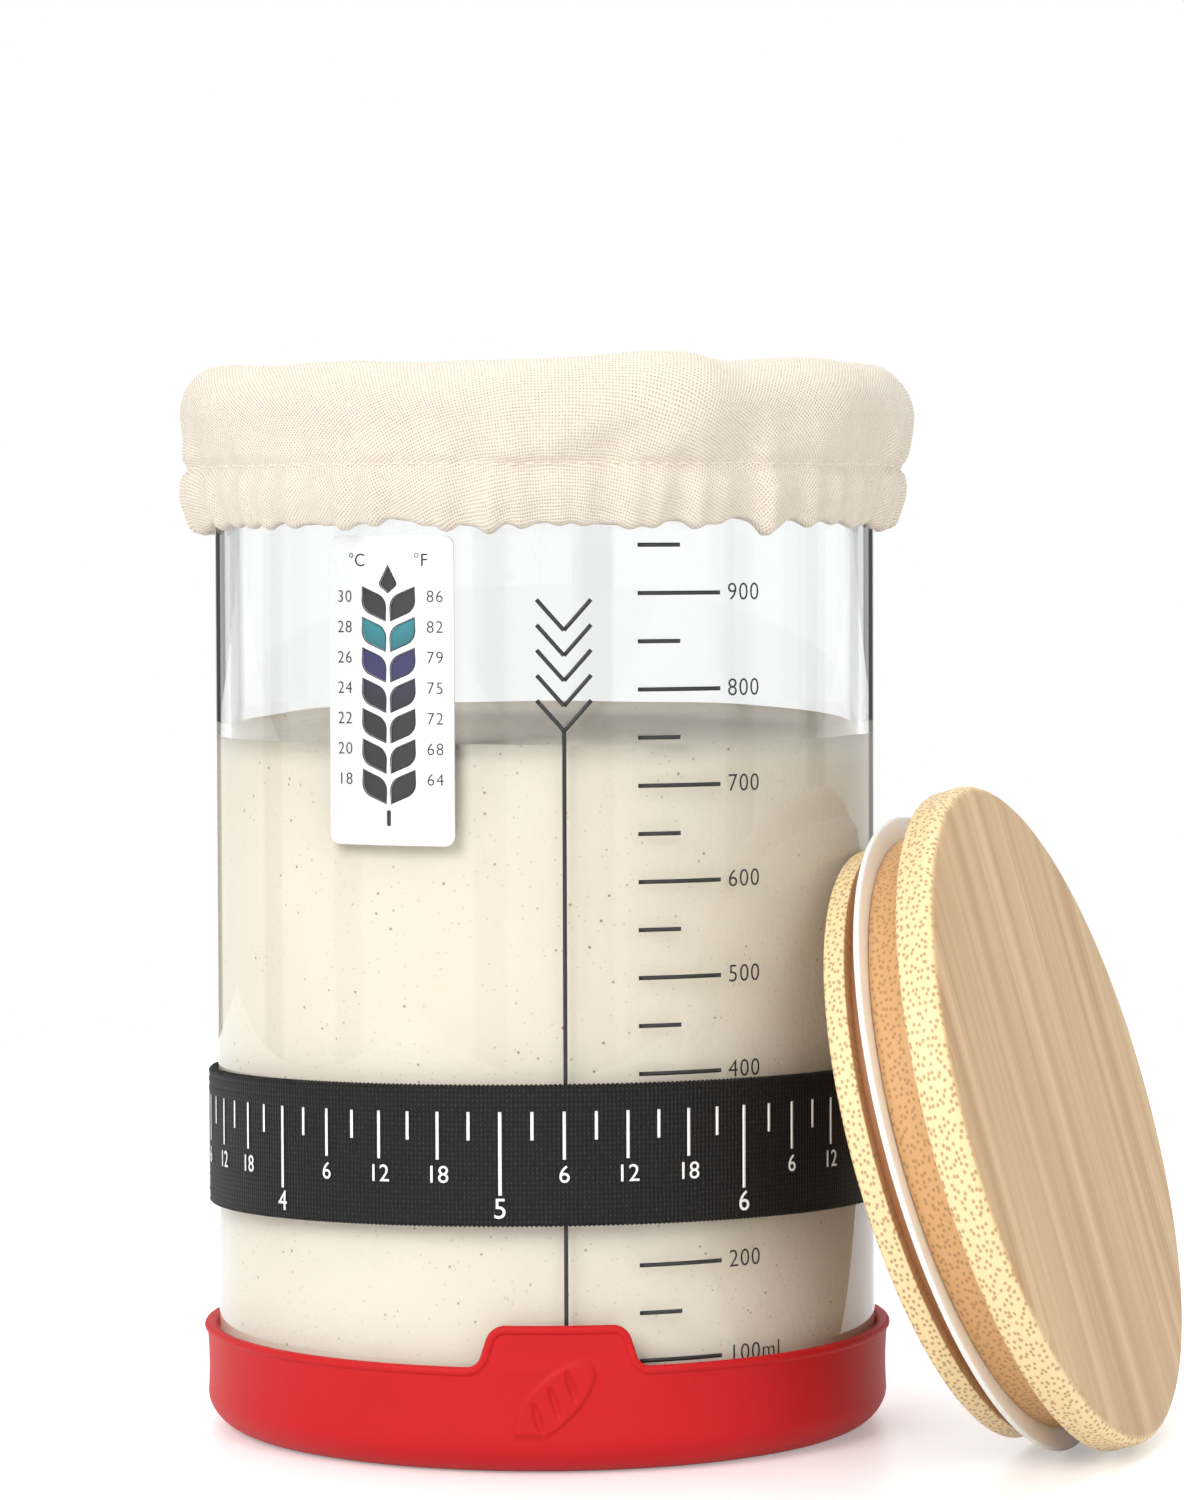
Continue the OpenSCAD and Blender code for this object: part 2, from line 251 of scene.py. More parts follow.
def sharpen(piece, degrees=40):
    """Splits the shading of a piece at edges that turn by more than that, which leaves its shape alone."""
    split = piece.modifiers.new("crisp edges", "EDGE_SPLIT")
    split.split_angle = math.radians(degrees)
    return piece


# Materials

def add_node(tree, kind, settings=None, inputs=None):
    """Adds a node, sets its settings, and links each input that is given as a socket or else sets its value."""
    node = tree.nodes.new(kind)
    for name, value in (settings or {}).items():
        setattr(node, name, value)
    for key, value in (inputs or {}).items():
        if isinstance(value, bpy.types.NodeSocket):
            tree.links.new(value, node.inputs[key])
        else:
            node.inputs[key].default_value = value
    return node


def new_material(name, **values):
    """A material with one Principled shader, whose constant sockets are set here. Underscores stand for spaces."""
    material = bpy.data.materials.new(name)
    material.use_nodes = True
    tree = material.node_tree
    shader = tree.nodes["Principled BSDF"]
    for key, value in values.items():
        shader.inputs[key.replace("_", " ")].default_value = value
    return material, tree, shader


def set_bump(tree, shader, height, depth, strength=1.0):
    """Gives the shader a bump of that depth in metres from a height between 0 and 1."""
    bump = add_node(tree, "ShaderNodeBump", None, {"Strength": strength, "Distance": depth, "Height": height})
    tree.links.new(bump.outputs["Normal"], shader.inputs["Normal"])


def moulded_silicone():
    """Liquid silicone rubber out of a fine-blasted mould: satin, evenly coloured, with a soft highlight."""
    material, tree, shader = new_material("moulded red silicone", Roughness=0.5, IOR=1.43,
                                          Specular_IOR_Level=0.22)
    place = add_node(tree, "ShaderNodeTexCoord").outputs["Object"]
    cloud = add_node(tree, "ShaderNodeTexNoise", None, {"Vector": place, "Scale": 1 / (18 * MM), "Detail": 3.0})
    red = colours().silicone
    dark = tuple(0.82 * c for c in red[:3]) + (1.0,)
    mix = add_node(tree, "ShaderNodeMix", {"data_type": "RGBA"}, {"Factor": cloud.outputs["Fac"], "A": dark, "B": red})
    tree.links.new(mix.outputs["Result"], shader.inputs["Base Color"])
    # The blasted mould's grain is about 0.1 mm and is drawn at 0.35 mm, so that it shows.
    grain = add_node(tree, "ShaderNodeTexNoise", None, {"Vector": place, "Scale": 1 / (0.35 * MM), "Detail": 2.0})
    set_bump(tree, shader, grain.outputs["Fac"], 0.012 * MM)
    return material


def borosilicate_glass():
    """Drawn borosilicate tube: clear, smooth and colourless; it lets shadow rays through, as a thin wall does."""
    material, tree, shader = new_material("borosilicate glass", Roughness=0.0, IOR=1.47, Transmission_Weight=1.0,
                                          Base_Color=linear("FCFDFD"))
    clear = add_node(tree, "ShaderNodeBsdfTransparent")
    shadow = add_node(tree, "ShaderNodeLightPath").outputs["Is Shadow Ray"]
    mix = add_node(tree, "ShaderNodeMixShader", None, {0: shadow, 1: shader.outputs[0], 2: clear.outputs[0]})
    tree.links.new(mix.outputs[0], tree.nodes["Material Output"].inputs["Surface"])
    return material


def risen_starter():
    """Flour and water full of small gas bubbles, wet against the glass, with specks of bran."""
    material, tree, shader = new_material("risen starter", Roughness=0.5, IOR=1.38)
    place = add_node(tree, "ShaderNodeTexCoord").outputs["Object"]
    cloud = add_node(tree, "ShaderNodeTexNoise", None, {"Vector": place, "Scale": 1 / (22 * MM), "Detail": 5.0})
    mix = add_node(tree, "ShaderNodeMix", {"data_type": "RGBA"},
                   {"Factor": cloud.outputs["Fac"], "A": colours().dough_dark, "B": colours().dough})
    # Coarse specks of about 0.4 mm lie some 4 mm apart, and fine ones of 0.25 mm lie 1.3 mm apart. Both are fewer
    # in some places than in others.
    patch = add_node(tree, "ShaderNodeTexNoise", None, {"Vector": place, "Scale": 1 / (9 * MM), "Detail": 1.0})
    dough = mix.outputs["Result"]
    for pitch, size, depth, least in ((2.3 * MM, 0.12, 0.75, 0.44), (1.3 * MM, 0.14, 0.28, 0.30)):
        cells = add_node(tree, "ShaderNodeTexVoronoi", None, {"Vector": place, "Scale": 1 / pitch})
        speck = add_node(tree, "ShaderNodeMapRange", None, {"Value": cells.outputs["Distance"], "From Min": size / 2,
                                                            "From Max": size, "To Min": depth, "To Max": 0.0})
        sparse = add_node(tree, "ShaderNodeMapRange", None, {"Value": patch.outputs["Fac"], "From Min": least,
                                                             "From Max": least + 0.15})
        amount = add_node(tree, "ShaderNodeMath", {"operation": "MULTIPLY"},
                          {0: speck.outputs["Result"], 1: sparse.outputs["Result"]})
        dough = add_node(tree, "ShaderNodeMix", {"data_type": "RGBA"},
                         {"Factor": amount.outputs[0], "A": dough, "B": colours().bran}).outputs["Result"]
    tree.links.new(dough, shader.inputs["Base Color"])
    bubbles = add_node(tree, "ShaderNodeTexVoronoi", None, {"Vector": place, "Scale": 1 / (1.1 * MM)})
    set_bump(tree, shader, bubbles.outputs["Distance"], 0.05 * MM)
    return material


def enamel_ink(name, paint, roughness=0.4):
    """Screen-printed ink or enamel: thin, opaque and even, a little duller than the glass under it."""
    material, tree, shader = new_material(name, Roughness=roughness)
    place = add_node(tree, "ShaderNodeTexCoord").outputs["Object"]
    wear = add_node(tree, "ShaderNodeTexNoise", None, {"Vector": place, "Scale": 1 / (0.6 * MM), "Detail": 2.0})
    pale = tuple(min(1.0, 1.15 * c + 0.01) for c in paint[:3]) + (1.0,)
    mix = add_node(tree, "ShaderNodeMix", {"data_type": "RGBA"}, {"Factor": wear.outputs["Fac"], "A": paint, "B": pale})
    tree.links.new(mix.outputs["Result"], shader.inputs["Base Color"])
    return material


def silver_film():
    """Metallised polyester film with a matt print coat: a soft silver with a fine sparkle."""
    material, tree, shader = new_material("metallised film", Metallic=0.4, Roughness=0.4)
    place = add_node(tree, "ShaderNodeTexCoord").outputs["Object"]
    # The metal flakes are finer than this 0.3 mm grain, which is coarse enough to show.
    grain = add_node(tree, "ShaderNodeTexNoise", None, {"Vector": place, "Scale": 1 / (0.3 * MM), "Detail": 3.0})
    foil = colours().foil
    dark = tuple(0.84 * c for c in foil[:3]) + (1.0,)
    mix = add_node(tree, "ShaderNodeMix", {"data_type": "RGBA"}, {"Factor": grain.outputs["Fac"], "A": dark, "B": foil})
    tree.links.new(mix.outputs["Result"], shader.inputs["Base Color"])
    set_bump(tree, shader, grain.outputs["Fac"], 0.01 * MM)
    return material


def liquid_crystal():
    """Cholesteric liquid crystal on black: near black, but teal and violet where the room's warmth turns it.

    A row of leaves slopes up away from the film's middle, so a row's colour goes by height less that slope.
    """
    material, tree, shader = new_material("liquid crystal", Roughness=0.3, Coat_Weight=0.3)
    place = add_node(tree, "ShaderNodeTexCoord").outputs["Object"]
    own = add_node(tree, "ShaderNodeMapping", None, {"Vector": place, "Rotation": (0, 0, -sizes().film_bearing)})
    axes = add_node(tree, "ShaderNodeSeparateXYZ", None, {0: own.outputs[0]})
    away = add_node(tree, "ShaderNodeMath", {"operation": "ABSOLUTE"}, {0: axes.outputs["X"]})
    level = add_node(tree, "ShaderNodeMath", {"operation": "MULTIPLY_ADD"},
                     {0: away.outputs[0], 1: -LEAF_RISE, 2: axes.outputs["Z"]})
    rows = 7
    low = LEAF_LOW - (rows - 1) * LEAF_PITCH - 0.75 * MM
    share = add_node(tree, "ShaderNodeMapRange", None, {"Value": level.outputs[0], "From Min": low,
                                                        "From Max": low + rows * LEAF_PITCH})
    ramp = add_node(tree, "ShaderNodeValToRGB", None, {"Fac": share.outputs["Result"]})
    stops = (("2B2B2A", 0.0), ("2B2B2B", 3.02), ("292832", 3.2), ("2E2C42", 3.9), ("37325F", 4.1), ("332E5C", 4.9),
             ("2B6D78", 5.1), ("31868F", 5.9), ("2D2F2E", 6.06), ("2B2B2A", 7.0))
    steps = ramp.color_ramp.elements
    while len(steps) < len(stops):
        steps.new(0.5)
    for step, (code, row) in zip(steps, stops):
        step.position = row / rows
        step.color = linear(code)
    tree.links.new(ramp.outputs["Color"], shader.inputs["Base Color"])
    return material


def woven_elastic():
    """Knitted black elastic: ribs of small crossed stitches over rubber; the stitches' tops are painted a lighter grey
    as a highlight, against the darker grooves.

    A stitch's height is sin(a + b) sin(a - b), where a runs along the band and b across it, times the rib's
    height, which is |sin| of the way across.
    """
    material, tree, shader = new_material("knitted black elastic", Roughness=0.62, Specular_IOR_Level=0.25)
    flat = add_node(tree, "ShaderNodeUVMap", {"uv_map": "flat"}).outputs[0]
    # The ribs lie 0.7 mm apart and the stitches along them 0.6 mm, and both wander a little.
    rib, stitch = 0.7 * MM, 0.62 * MM
    wander = add_node(tree, "ShaderNodeTexNoise", None, {"Vector": flat, "Scale": 1 / (3 * MM), "Detail": 2.0})
    push = add_node(tree, "ShaderNodeVectorMath", {"operation": "MULTIPLY_ADD"},
                    {0: wander.outputs["Color"], 1: (0.35 * MM, 0.12 * MM, 0), 2: flat})
    axes = add_node(tree, "ShaderNodeSeparateXYZ", None, {0: push.outputs[0]})
    along = add_node(tree, "ShaderNodeMath", {"operation": "MULTIPLY"}, {0: axes.outputs["X"], 1: math.pi / stitch})
    across = add_node(tree, "ShaderNodeMath", {"operation": "MULTIPLY"}, {0: axes.outputs["Y"], 1: math.pi / rib})
    crossed = []
    for way in ("ADD", "SUBTRACT"):
        turns = add_node(tree, "ShaderNodeMath", {"operation": way}, {0: along.outputs[0], 1: across.outputs[0]})
        crossed.append(add_node(tree, "ShaderNodeMath", {"operation": "SINE"}, {0: turns.outputs[0]}))
    loops = add_node(tree, "ShaderNodeMath", {"operation": "MULTIPLY"},
                     {0: crossed[0].outputs[0], 1: crossed[1].outputs[0]})
    ribs = add_node(tree, "ShaderNodeMath", {"operation": "SINE"}, {0: across.outputs[0]})
    ribbed = add_node(tree, "ShaderNodeMath", {"operation": "ABSOLUTE"}, {0: ribs.outputs[0]})
    both = add_node(tree, "ShaderNodeMath", {"operation": "MULTIPLY_ADD"},
                    {0: loops.outputs[0], 1: 0.5, 2: ribbed.outputs[0]})
    height = add_node(tree, "ShaderNodeMapRange", None, {"Value": both.outputs[0], "From Min": 0.0, "From Max": 1.5})
    # The painted highlight is stronger on some stitches than on others.
    catch = add_node(tree, "ShaderNodeTexNoise", None, {"Vector": flat, "Scale": 1 / (0.5 * MM), "Detail": 1.0})
    bright = add_node(tree, "ShaderNodeMapRange", None, {"Value": catch.outputs["Fac"], "From Min": 0.4,
                                                         "From Max": 0.7, "To Min": 0.25})
    painted_highlight = add_node(tree, "ShaderNodeMapRange", None, {"Value": height.outputs["Result"], "From Min": 0.5,
                                                        "From Max": 0.95})
    amount = add_node(tree, "ShaderNodeMath", {"operation": "MULTIPLY"},
                      {0: painted_highlight.outputs["Result"], 1: bright.outputs["Result"]})
    # The tops of the stitches are mixed towards grey 58585B: a painted highlight on the black elastic.
    mix = add_node(tree, "ShaderNodeMix", {"data_type": "RGBA"},
                   {"Factor": amount.outputs[0], "A": colours().elastic, "B": linear("58585B")})
    tree.links.new(mix.outputs["Result"], shader.inputs["Base Color"])
    set_bump(tree, shader, height.outputs["Result"], 0.16 * MM)
    return material


def plain_weave_linen():
    """Unbleached plain-weave linen: pale threads with painted brown shade in the small gaps between them, and a few
    thicker threads.

    A gap is ((1 + cos x)/2)((1 + cos y)/2) of the two ways of the cloth, so it shows where both threads are low.
    """
    material, tree, shader = new_material("plain weave linen", Roughness=0.85, Sheen_Weight=0.2, Sheen_Roughness=0.5)
    flat = add_node(tree, "ShaderNodeUVMap", {"uv_map": "flat"}).outputs[0]
    # Threads lie 0.42 mm apart and are drawn 0.5 mm apart, so that they show.
    pitch = 0.5 * MM
    wander = add_node(tree, "ShaderNodeTexNoise", None, {"Vector": flat, "Scale": 1 / (12 * MM), "Detail": 2.0})
    push = add_node(tree, "ShaderNodeVectorMath", {"operation": "MULTIPLY_ADD"},
                    {0: wander.outputs["Color"], 1: (1.2 * MM,) * 3, 2: flat})
    axes = add_node(tree, "ShaderNodeSeparateXYZ", None, {0: push.outputs[0]})
    lifted = []
    for axis in ("X", "Y"):
        turns = add_node(tree, "ShaderNodeMath", {"operation": "MULTIPLY"}, {0: axes.outputs[axis], 1: TURN / pitch})
        wave = add_node(tree, "ShaderNodeMath", {"operation": "COSINE"}, {0: turns.outputs[0]})
        lifted.append(add_node(tree, "ShaderNodeMapRange", None, {"Value": wave.outputs[0], "From Min": -1.0,
                                                                  "From Max": 1.0}).outputs["Result"])
    hole = add_node(tree, "ShaderNodeMath", {"operation": "MULTIPLY"}, {0: lifted[0], 1: lifted[1]})
    # Some gaps are tighter than others, and their painted shade is deeper.
    tight = add_node(tree, "ShaderNodeTexNoise", None, {"Vector": flat, "Scale": 1 / (1.1 * MM), "Detail": 2.0})
    deep = add_node(tree, "ShaderNodeMapRange", None, {"Value": tight.outputs["Fac"], "From Min": 0.3, "From Max": 0.65,
                                                       "To Min": 0.35})
    gap = add_node(tree, "ShaderNodeMapRange", None, {"Value": hole.outputs[0], "From Min": 0.35, "From Max": 0.9})
    amount = add_node(tree, "ShaderNodeMath", {"operation": "MULTIPLY"},
                      {0: gap.outputs["Result"], 1: deep.outputs["Result"]})
    slub = add_node(tree, "ShaderNodeTexNoise", None, {"Vector": flat, "Scale": 1 / (5 * MM), "Detail": 4.0})
    warm = tuple(0.9 * c for c in colours().linen[:3]) + (1.0,)
    thread = add_node(tree, "ShaderNodeMix", {"data_type": "RGBA"},
                      {"Factor": slub.outputs["Fac"], "A": warm, "B": colours().linen})
    # The gaps between the threads are painted brown as shade.
    woven = add_node(tree, "ShaderNodeMix", {"data_type": "RGBA"},
                     {"Factor": amount.outputs[0], "A": thread.outputs["Result"], "B": colours().linen_gap})
    tree.links.new(woven.outputs["Result"], shader.inputs["Base Color"])
    height = add_node(tree, "ShaderNodeMath", {"operation": "SUBTRACT"}, {0: 1.0, 1: hole.outputs[0]})
    set_bump(tree, shader, height.outputs[0], 0.12 * MM)
    return material


def spun_thread():
    """Spun cotton sewing thread: matt, with a slight twist."""
    material, tree, shader = new_material("sewing thread", Roughness=0.8, Sheen_Weight=0.3)
    place = add_node(tree, "ShaderNodeTexCoord").outputs["Object"]
    twist = add_node(tree, "ShaderNodeTexNoise", None, {"Vector": place, "Scale": 1 / (0.2 * MM)})
    mix = add_node(tree, "ShaderNodeMix", {"data_type": "RGBA"},
                   {"Factor": twist.outputs["Fac"], "A": linear("DCCFB2"), "B": linear("F7F0DF")})
    tree.links.new(mix.outputs["Result"], shader.inputs["Base Color"])
    return material


def laminated_bamboo(place_matrix):
    """Carbonised bamboo, turned and oiled: its fibres streak the face and end as dark dots round the edges.

    In the lid's own frame the fibres run along X, the face is z = 0, and each step of the turned edge has its
    own tone; the plug's side and the groove are painted darker orange-brown as shade.
    """
    material, tree, shader = new_material("laminated bamboo", Roughness=0.5, IOR=1.5, Coat_Weight=0.08,
                                          Coat_Roughness=0.3)
    back = place_matrix.inverted()
    place = add_node(tree, "ShaderNodeTexCoord").outputs["Object"]
    own = add_node(tree, "ShaderNodeMapping", None, {"Vector": place, "Location": back.to_translation(),
                                                     "Rotation": back.to_euler()})
    axes = add_node(tree, "ShaderNodeSeparateXYZ", None, {0: own.outputs[0]})

    def streaks(length, width, detail):
        """Noise that is drawn out along the fibres."""
        drawn = add_node(tree, "ShaderNodeMapping", None, {"Vector": own.outputs[0],
                                                           "Scale": (1 / length, 1 / width, 1 / width)})
        return add_node(tree, "ShaderNodeTexNoise", None, {"Vector": drawn.outputs[0], "Scale": 1.0,
                                                           "Detail": detail, "Roughness": 0.6}).outputs["Fac"]

    # Fibres are 0.4 mm across, the sawn strips 7 mm, and here and there a fibre is darker.
    fine, strips, vein = streaks(45 * MM, 0.45 * MM, 3.0), streaks(260 * MM, 6 * MM, 1.0), streaks(110 * MM, 1.3 * MM, 1.0)
    tone = add_node(tree, "ShaderNodeMath", {"operation": "MULTIPLY_ADD"}, {0: strips, 1: 1.6, 2: fine})
    level = add_node(tree, "ShaderNodeMapRange", None, {"Value": tone.outputs[0], "From Min": 0.95, "From Max": 1.65,
                                                        "To Min": 0.75, "To Max": 0.0})
    dark_vein = add_node(tree, "ShaderNodeMapRange", None, {"Value": vein, "From Min": 0.64, "From Max": 0.74,
                                                            "To Max": 0.6})
    streaked = add_node(tree, "ShaderNodeMath", {"operation": "MAXIMUM"},
                        {0: level.outputs["Result"], 1: dark_vein.outputs["Result"]})
    # Fibre ends are 0.4 mm across and 0.85 mm apart, and are drawn out along the edge.
    bearing = add_node(tree, "ShaderNodeMath", {"operation": "ARCTAN2"}, {0: axes.outputs["Y"], 1: axes.outputs["X"]})
    run = add_node(tree, "ShaderNodeMath", {"operation": "MULTIPLY"}, {0: bearing.outputs[0], 1: 50 / 1.25})
    rise = add_node(tree, "ShaderNodeMath", {"operation": "MULTIPLY"}, {0: axes.outputs["Z"], 1: 1 / (0.85 * MM)})
    ends = add_node(tree, "ShaderNodeTexVoronoi", {"voronoi_dimensions": "2D"}, {
        "Vector": add_node(tree, "ShaderNodeCombineXYZ", None, {0: run.outputs[0], 1: rise.outputs[0]}).outputs[0],
        "Scale": 1.0, "Randomness": 0.85})
    dots = add_node(tree, "ShaderNodeMapRange", None, {"Value": ends.outputs["Distance"], "From Min": 0.14,
                                                       "From Max": 0.36, "To Min": 0.75, "To Max": 0.0})
    # Base tones from the face over the rim, the plug's side and the groove to the plug's end, by height.
    # The plug's side, under the disc, and the groove carry painted shade in darker orange-brown.
    thick = sizes().lid_thickness
    share = add_node(tree, "ShaderNodeMath", {"operation": "DIVIDE"}, {0: axes.outputs["Z"], 1: thick})
    ramp = add_node(tree, "ShaderNodeValToRGB", None, {"Fac": share.outputs[0]})
    face, edge = colours().bamboo, colours().bamboo_end
    # Painted shade: the plug's side under the disc's rim, and the walls of the groove.
    side, groove = linear("D6A873"), linear("B4784B")
    steps = ((face, 0.2), (edge, 0.6), (edge, 5.6), (side, 6.0), (side, 11.9), (groove, 12.1), (groove, 15.8),
             (edge, 15.9), (edge, 19.0), (face, 19.15))
    stops = ramp.color_ramp.elements
    while len(stops) < len(steps):
        stops.new(0.5)
    for stop, (tint, height) in zip(stops, steps):
        stop.position = height * MM / thick
        stop.color = tint
    flat = add_node(tree, "ShaderNodeMapRange", None, {"Value": axes.outputs["Z"], "From Min": 0.2 * MM,
                                                       "From Max": 0.6 * MM, "To Min": 1.0, "To Max": 0.0})
    amount = add_node(tree, "ShaderNodeMix", {"data_type": "FLOAT"},
                      {"Factor": flat.outputs["Result"], "A": dots.outputs["Result"], "B": streaked.outputs[0]})
    mix = add_node(tree, "ShaderNodeMix", {"data_type": "RGBA"},
                   {"Factor": amount.outputs["Result"], "A": ramp.outputs["Color"], "B": colours().bamboo_dark})
    tree.links.new(mix.outputs["Result"], shader.inputs["Base Color"])
    set_bump(tree, shader, fine, 0.03 * MM)
    return material


def seal_silicone():
    """Translucent white silicone: soft, slightly milky and smooth."""
    material, tree, shader = new_material("white seal silicone", Roughness=0.38, IOR=1.43, Subsurface_Weight=0.6,
                                          Subsurface_Scale=3 * MM)
    place = add_node(tree, "ShaderNodeTexCoord").outputs["Object"]
    cloud = add_node(tree, "ShaderNodeTexNoise", None, {"Vector": place, "Scale": 1 / (12 * MM)})
    seal = colours().seal
    dark = tuple(0.93 * c for c in seal[:3]) + (1.0,)
    mix = add_node(tree, "ShaderNodeMix", {"data_type": "RGBA"}, {"Factor": cloud.outputs["Fac"], "A": dark, "B": seal})
    tree.links.new(mix.outputs["Result"], shader.inputs["Base Color"])
    return material


# Printing

def flat_text(words, height, align="LEFT", thin=0.0, spacing=1.0):
    """Outline of the words in the built-in face, as a thin solid: points (x, y, thickness) and faces.

    Strokes are thinner by thin on each side, and the figures stand apart by their own width times spacing.
    """
    curve = bpy.data.curves.new("words", "FONT")
    curve.body = words
    curve.size = height / 0.72          # the built-in face's figures are 0.72 of its size tall
    curve.align_x = align
    curve.align_y = "CENTER"
    curve.resolution_u = 4
    curve.offset = -thin
    curve.space_character = spacing
    curve.extrude = PRINT_THICKNESS / 2
    holder = bpy.data.objects.new("words", curve)
    bpy.context.scene.collection.objects.link(holder)
    mesh = bpy.data.meshes.new_from_object(holder.evaluated_get(bpy.context.evaluated_depsgraph_get()))
    points = np.array([v.co for v in mesh.vertices]).reshape(-1, 3)
    faces = [list(p.vertices) for p in mesh.polygons]
    bpy.data.objects.remove(holder)
    bpy.data.curves.remove(curve)
    bpy.data.meshes.remove(mesh)
    return points, faces


def strip(start, end, width, step=0.8 * MM):
    """A straight printed line between two flat points: a thin closed box, cut across at every step."""
    start, end = np.array(start, float), np.array(end, float)
    span = end - start
    run = np.linalg.norm(span)
    side = np.array([-span[1], span[0]]) / run * width / 2
    count = max(1, round(run / step)) + 1
    middle = start + span * np.linspace(0, 1, count)[:, None]
    half = PRINT_THICKNESS / 2
    ring = [(middle + sign * side, depth) for sign, depth in ((1, half), (-1, half), (-1, -half), (1, -half))]
    points = np.stack([np.concatenate([xy, np.full((count, 1), depth)], 1) for xy, depth in ring])
    faces = grid_faces(4, count, wrap_rows=True, poles=False, wrap_columns=False)
    caps = [[3 * count, 2 * count, count, 0], [count - 1, 2 * count - 1, 3 * count - 1, 4 * count - 1]]
    return points.reshape(-1, 3), faces + caps


def loop_line(points, width):
    """A closed printed line of that width just outside a closed outline of flat points, as a thin solid ring."""
    points = np.asarray(points, float)
    along = np.roll(points, -1, 0) - np.roll(points, 1, 0)
    out = np.stack([along[:, 1], -along[:, 0]], 1) / np.linalg.norm(along, axis=1)[:, None]
    half = PRINT_THICKNESS / 2
    ring = [(points, -half), (points + out * width, -half), (points + out * width, half), (points, half)]
    rows = np.stack([np.concatenate([xy, np.full((len(points), 1), depth)], 1) for xy, depth in ring])
    return rows.reshape(-1, 3), grid_faces(4, len(points), wrap_rows=True, poles=False)


def joined(shapes):
    """One set of points and faces from several."""
    points, faces, start = [], [], 0
    for more_points, more_faces in shapes:
        points.append(more_points)
        faces += [[v + start for v in face] for face in more_faces]
        start += len(more_points)
    return np.concatenate(points), faces


def moved(shape, x, y):
    """A flat shape moved by x and y."""
    points, faces = shape
    return points + np.array([x, y, 0.0]), faces


def wrapped(shape, radius, bearing, tilt=(0.0, 0.0)):
    """Bends a flat shape round the jar: x becomes arc from the bearing, y height, and thickness reaches outwards.

    A tilt lifts the heights by x times its first slope, less y times its second, as for a band that sits aslant.
    """
    points, faces = shape
    angles = FRONT + bearing + points[:, 0] / radius
    outside = radius + PRINT_LIFT + PRINT_THICKNESS / 2 + points[:, 2]
    bent = around(outside, angles, points[:, 1])
    bent[:, 2] += bent[:, 0] * tilt[0] - bent[:, 1] * tilt[1]
    return bent, faces


# Operators

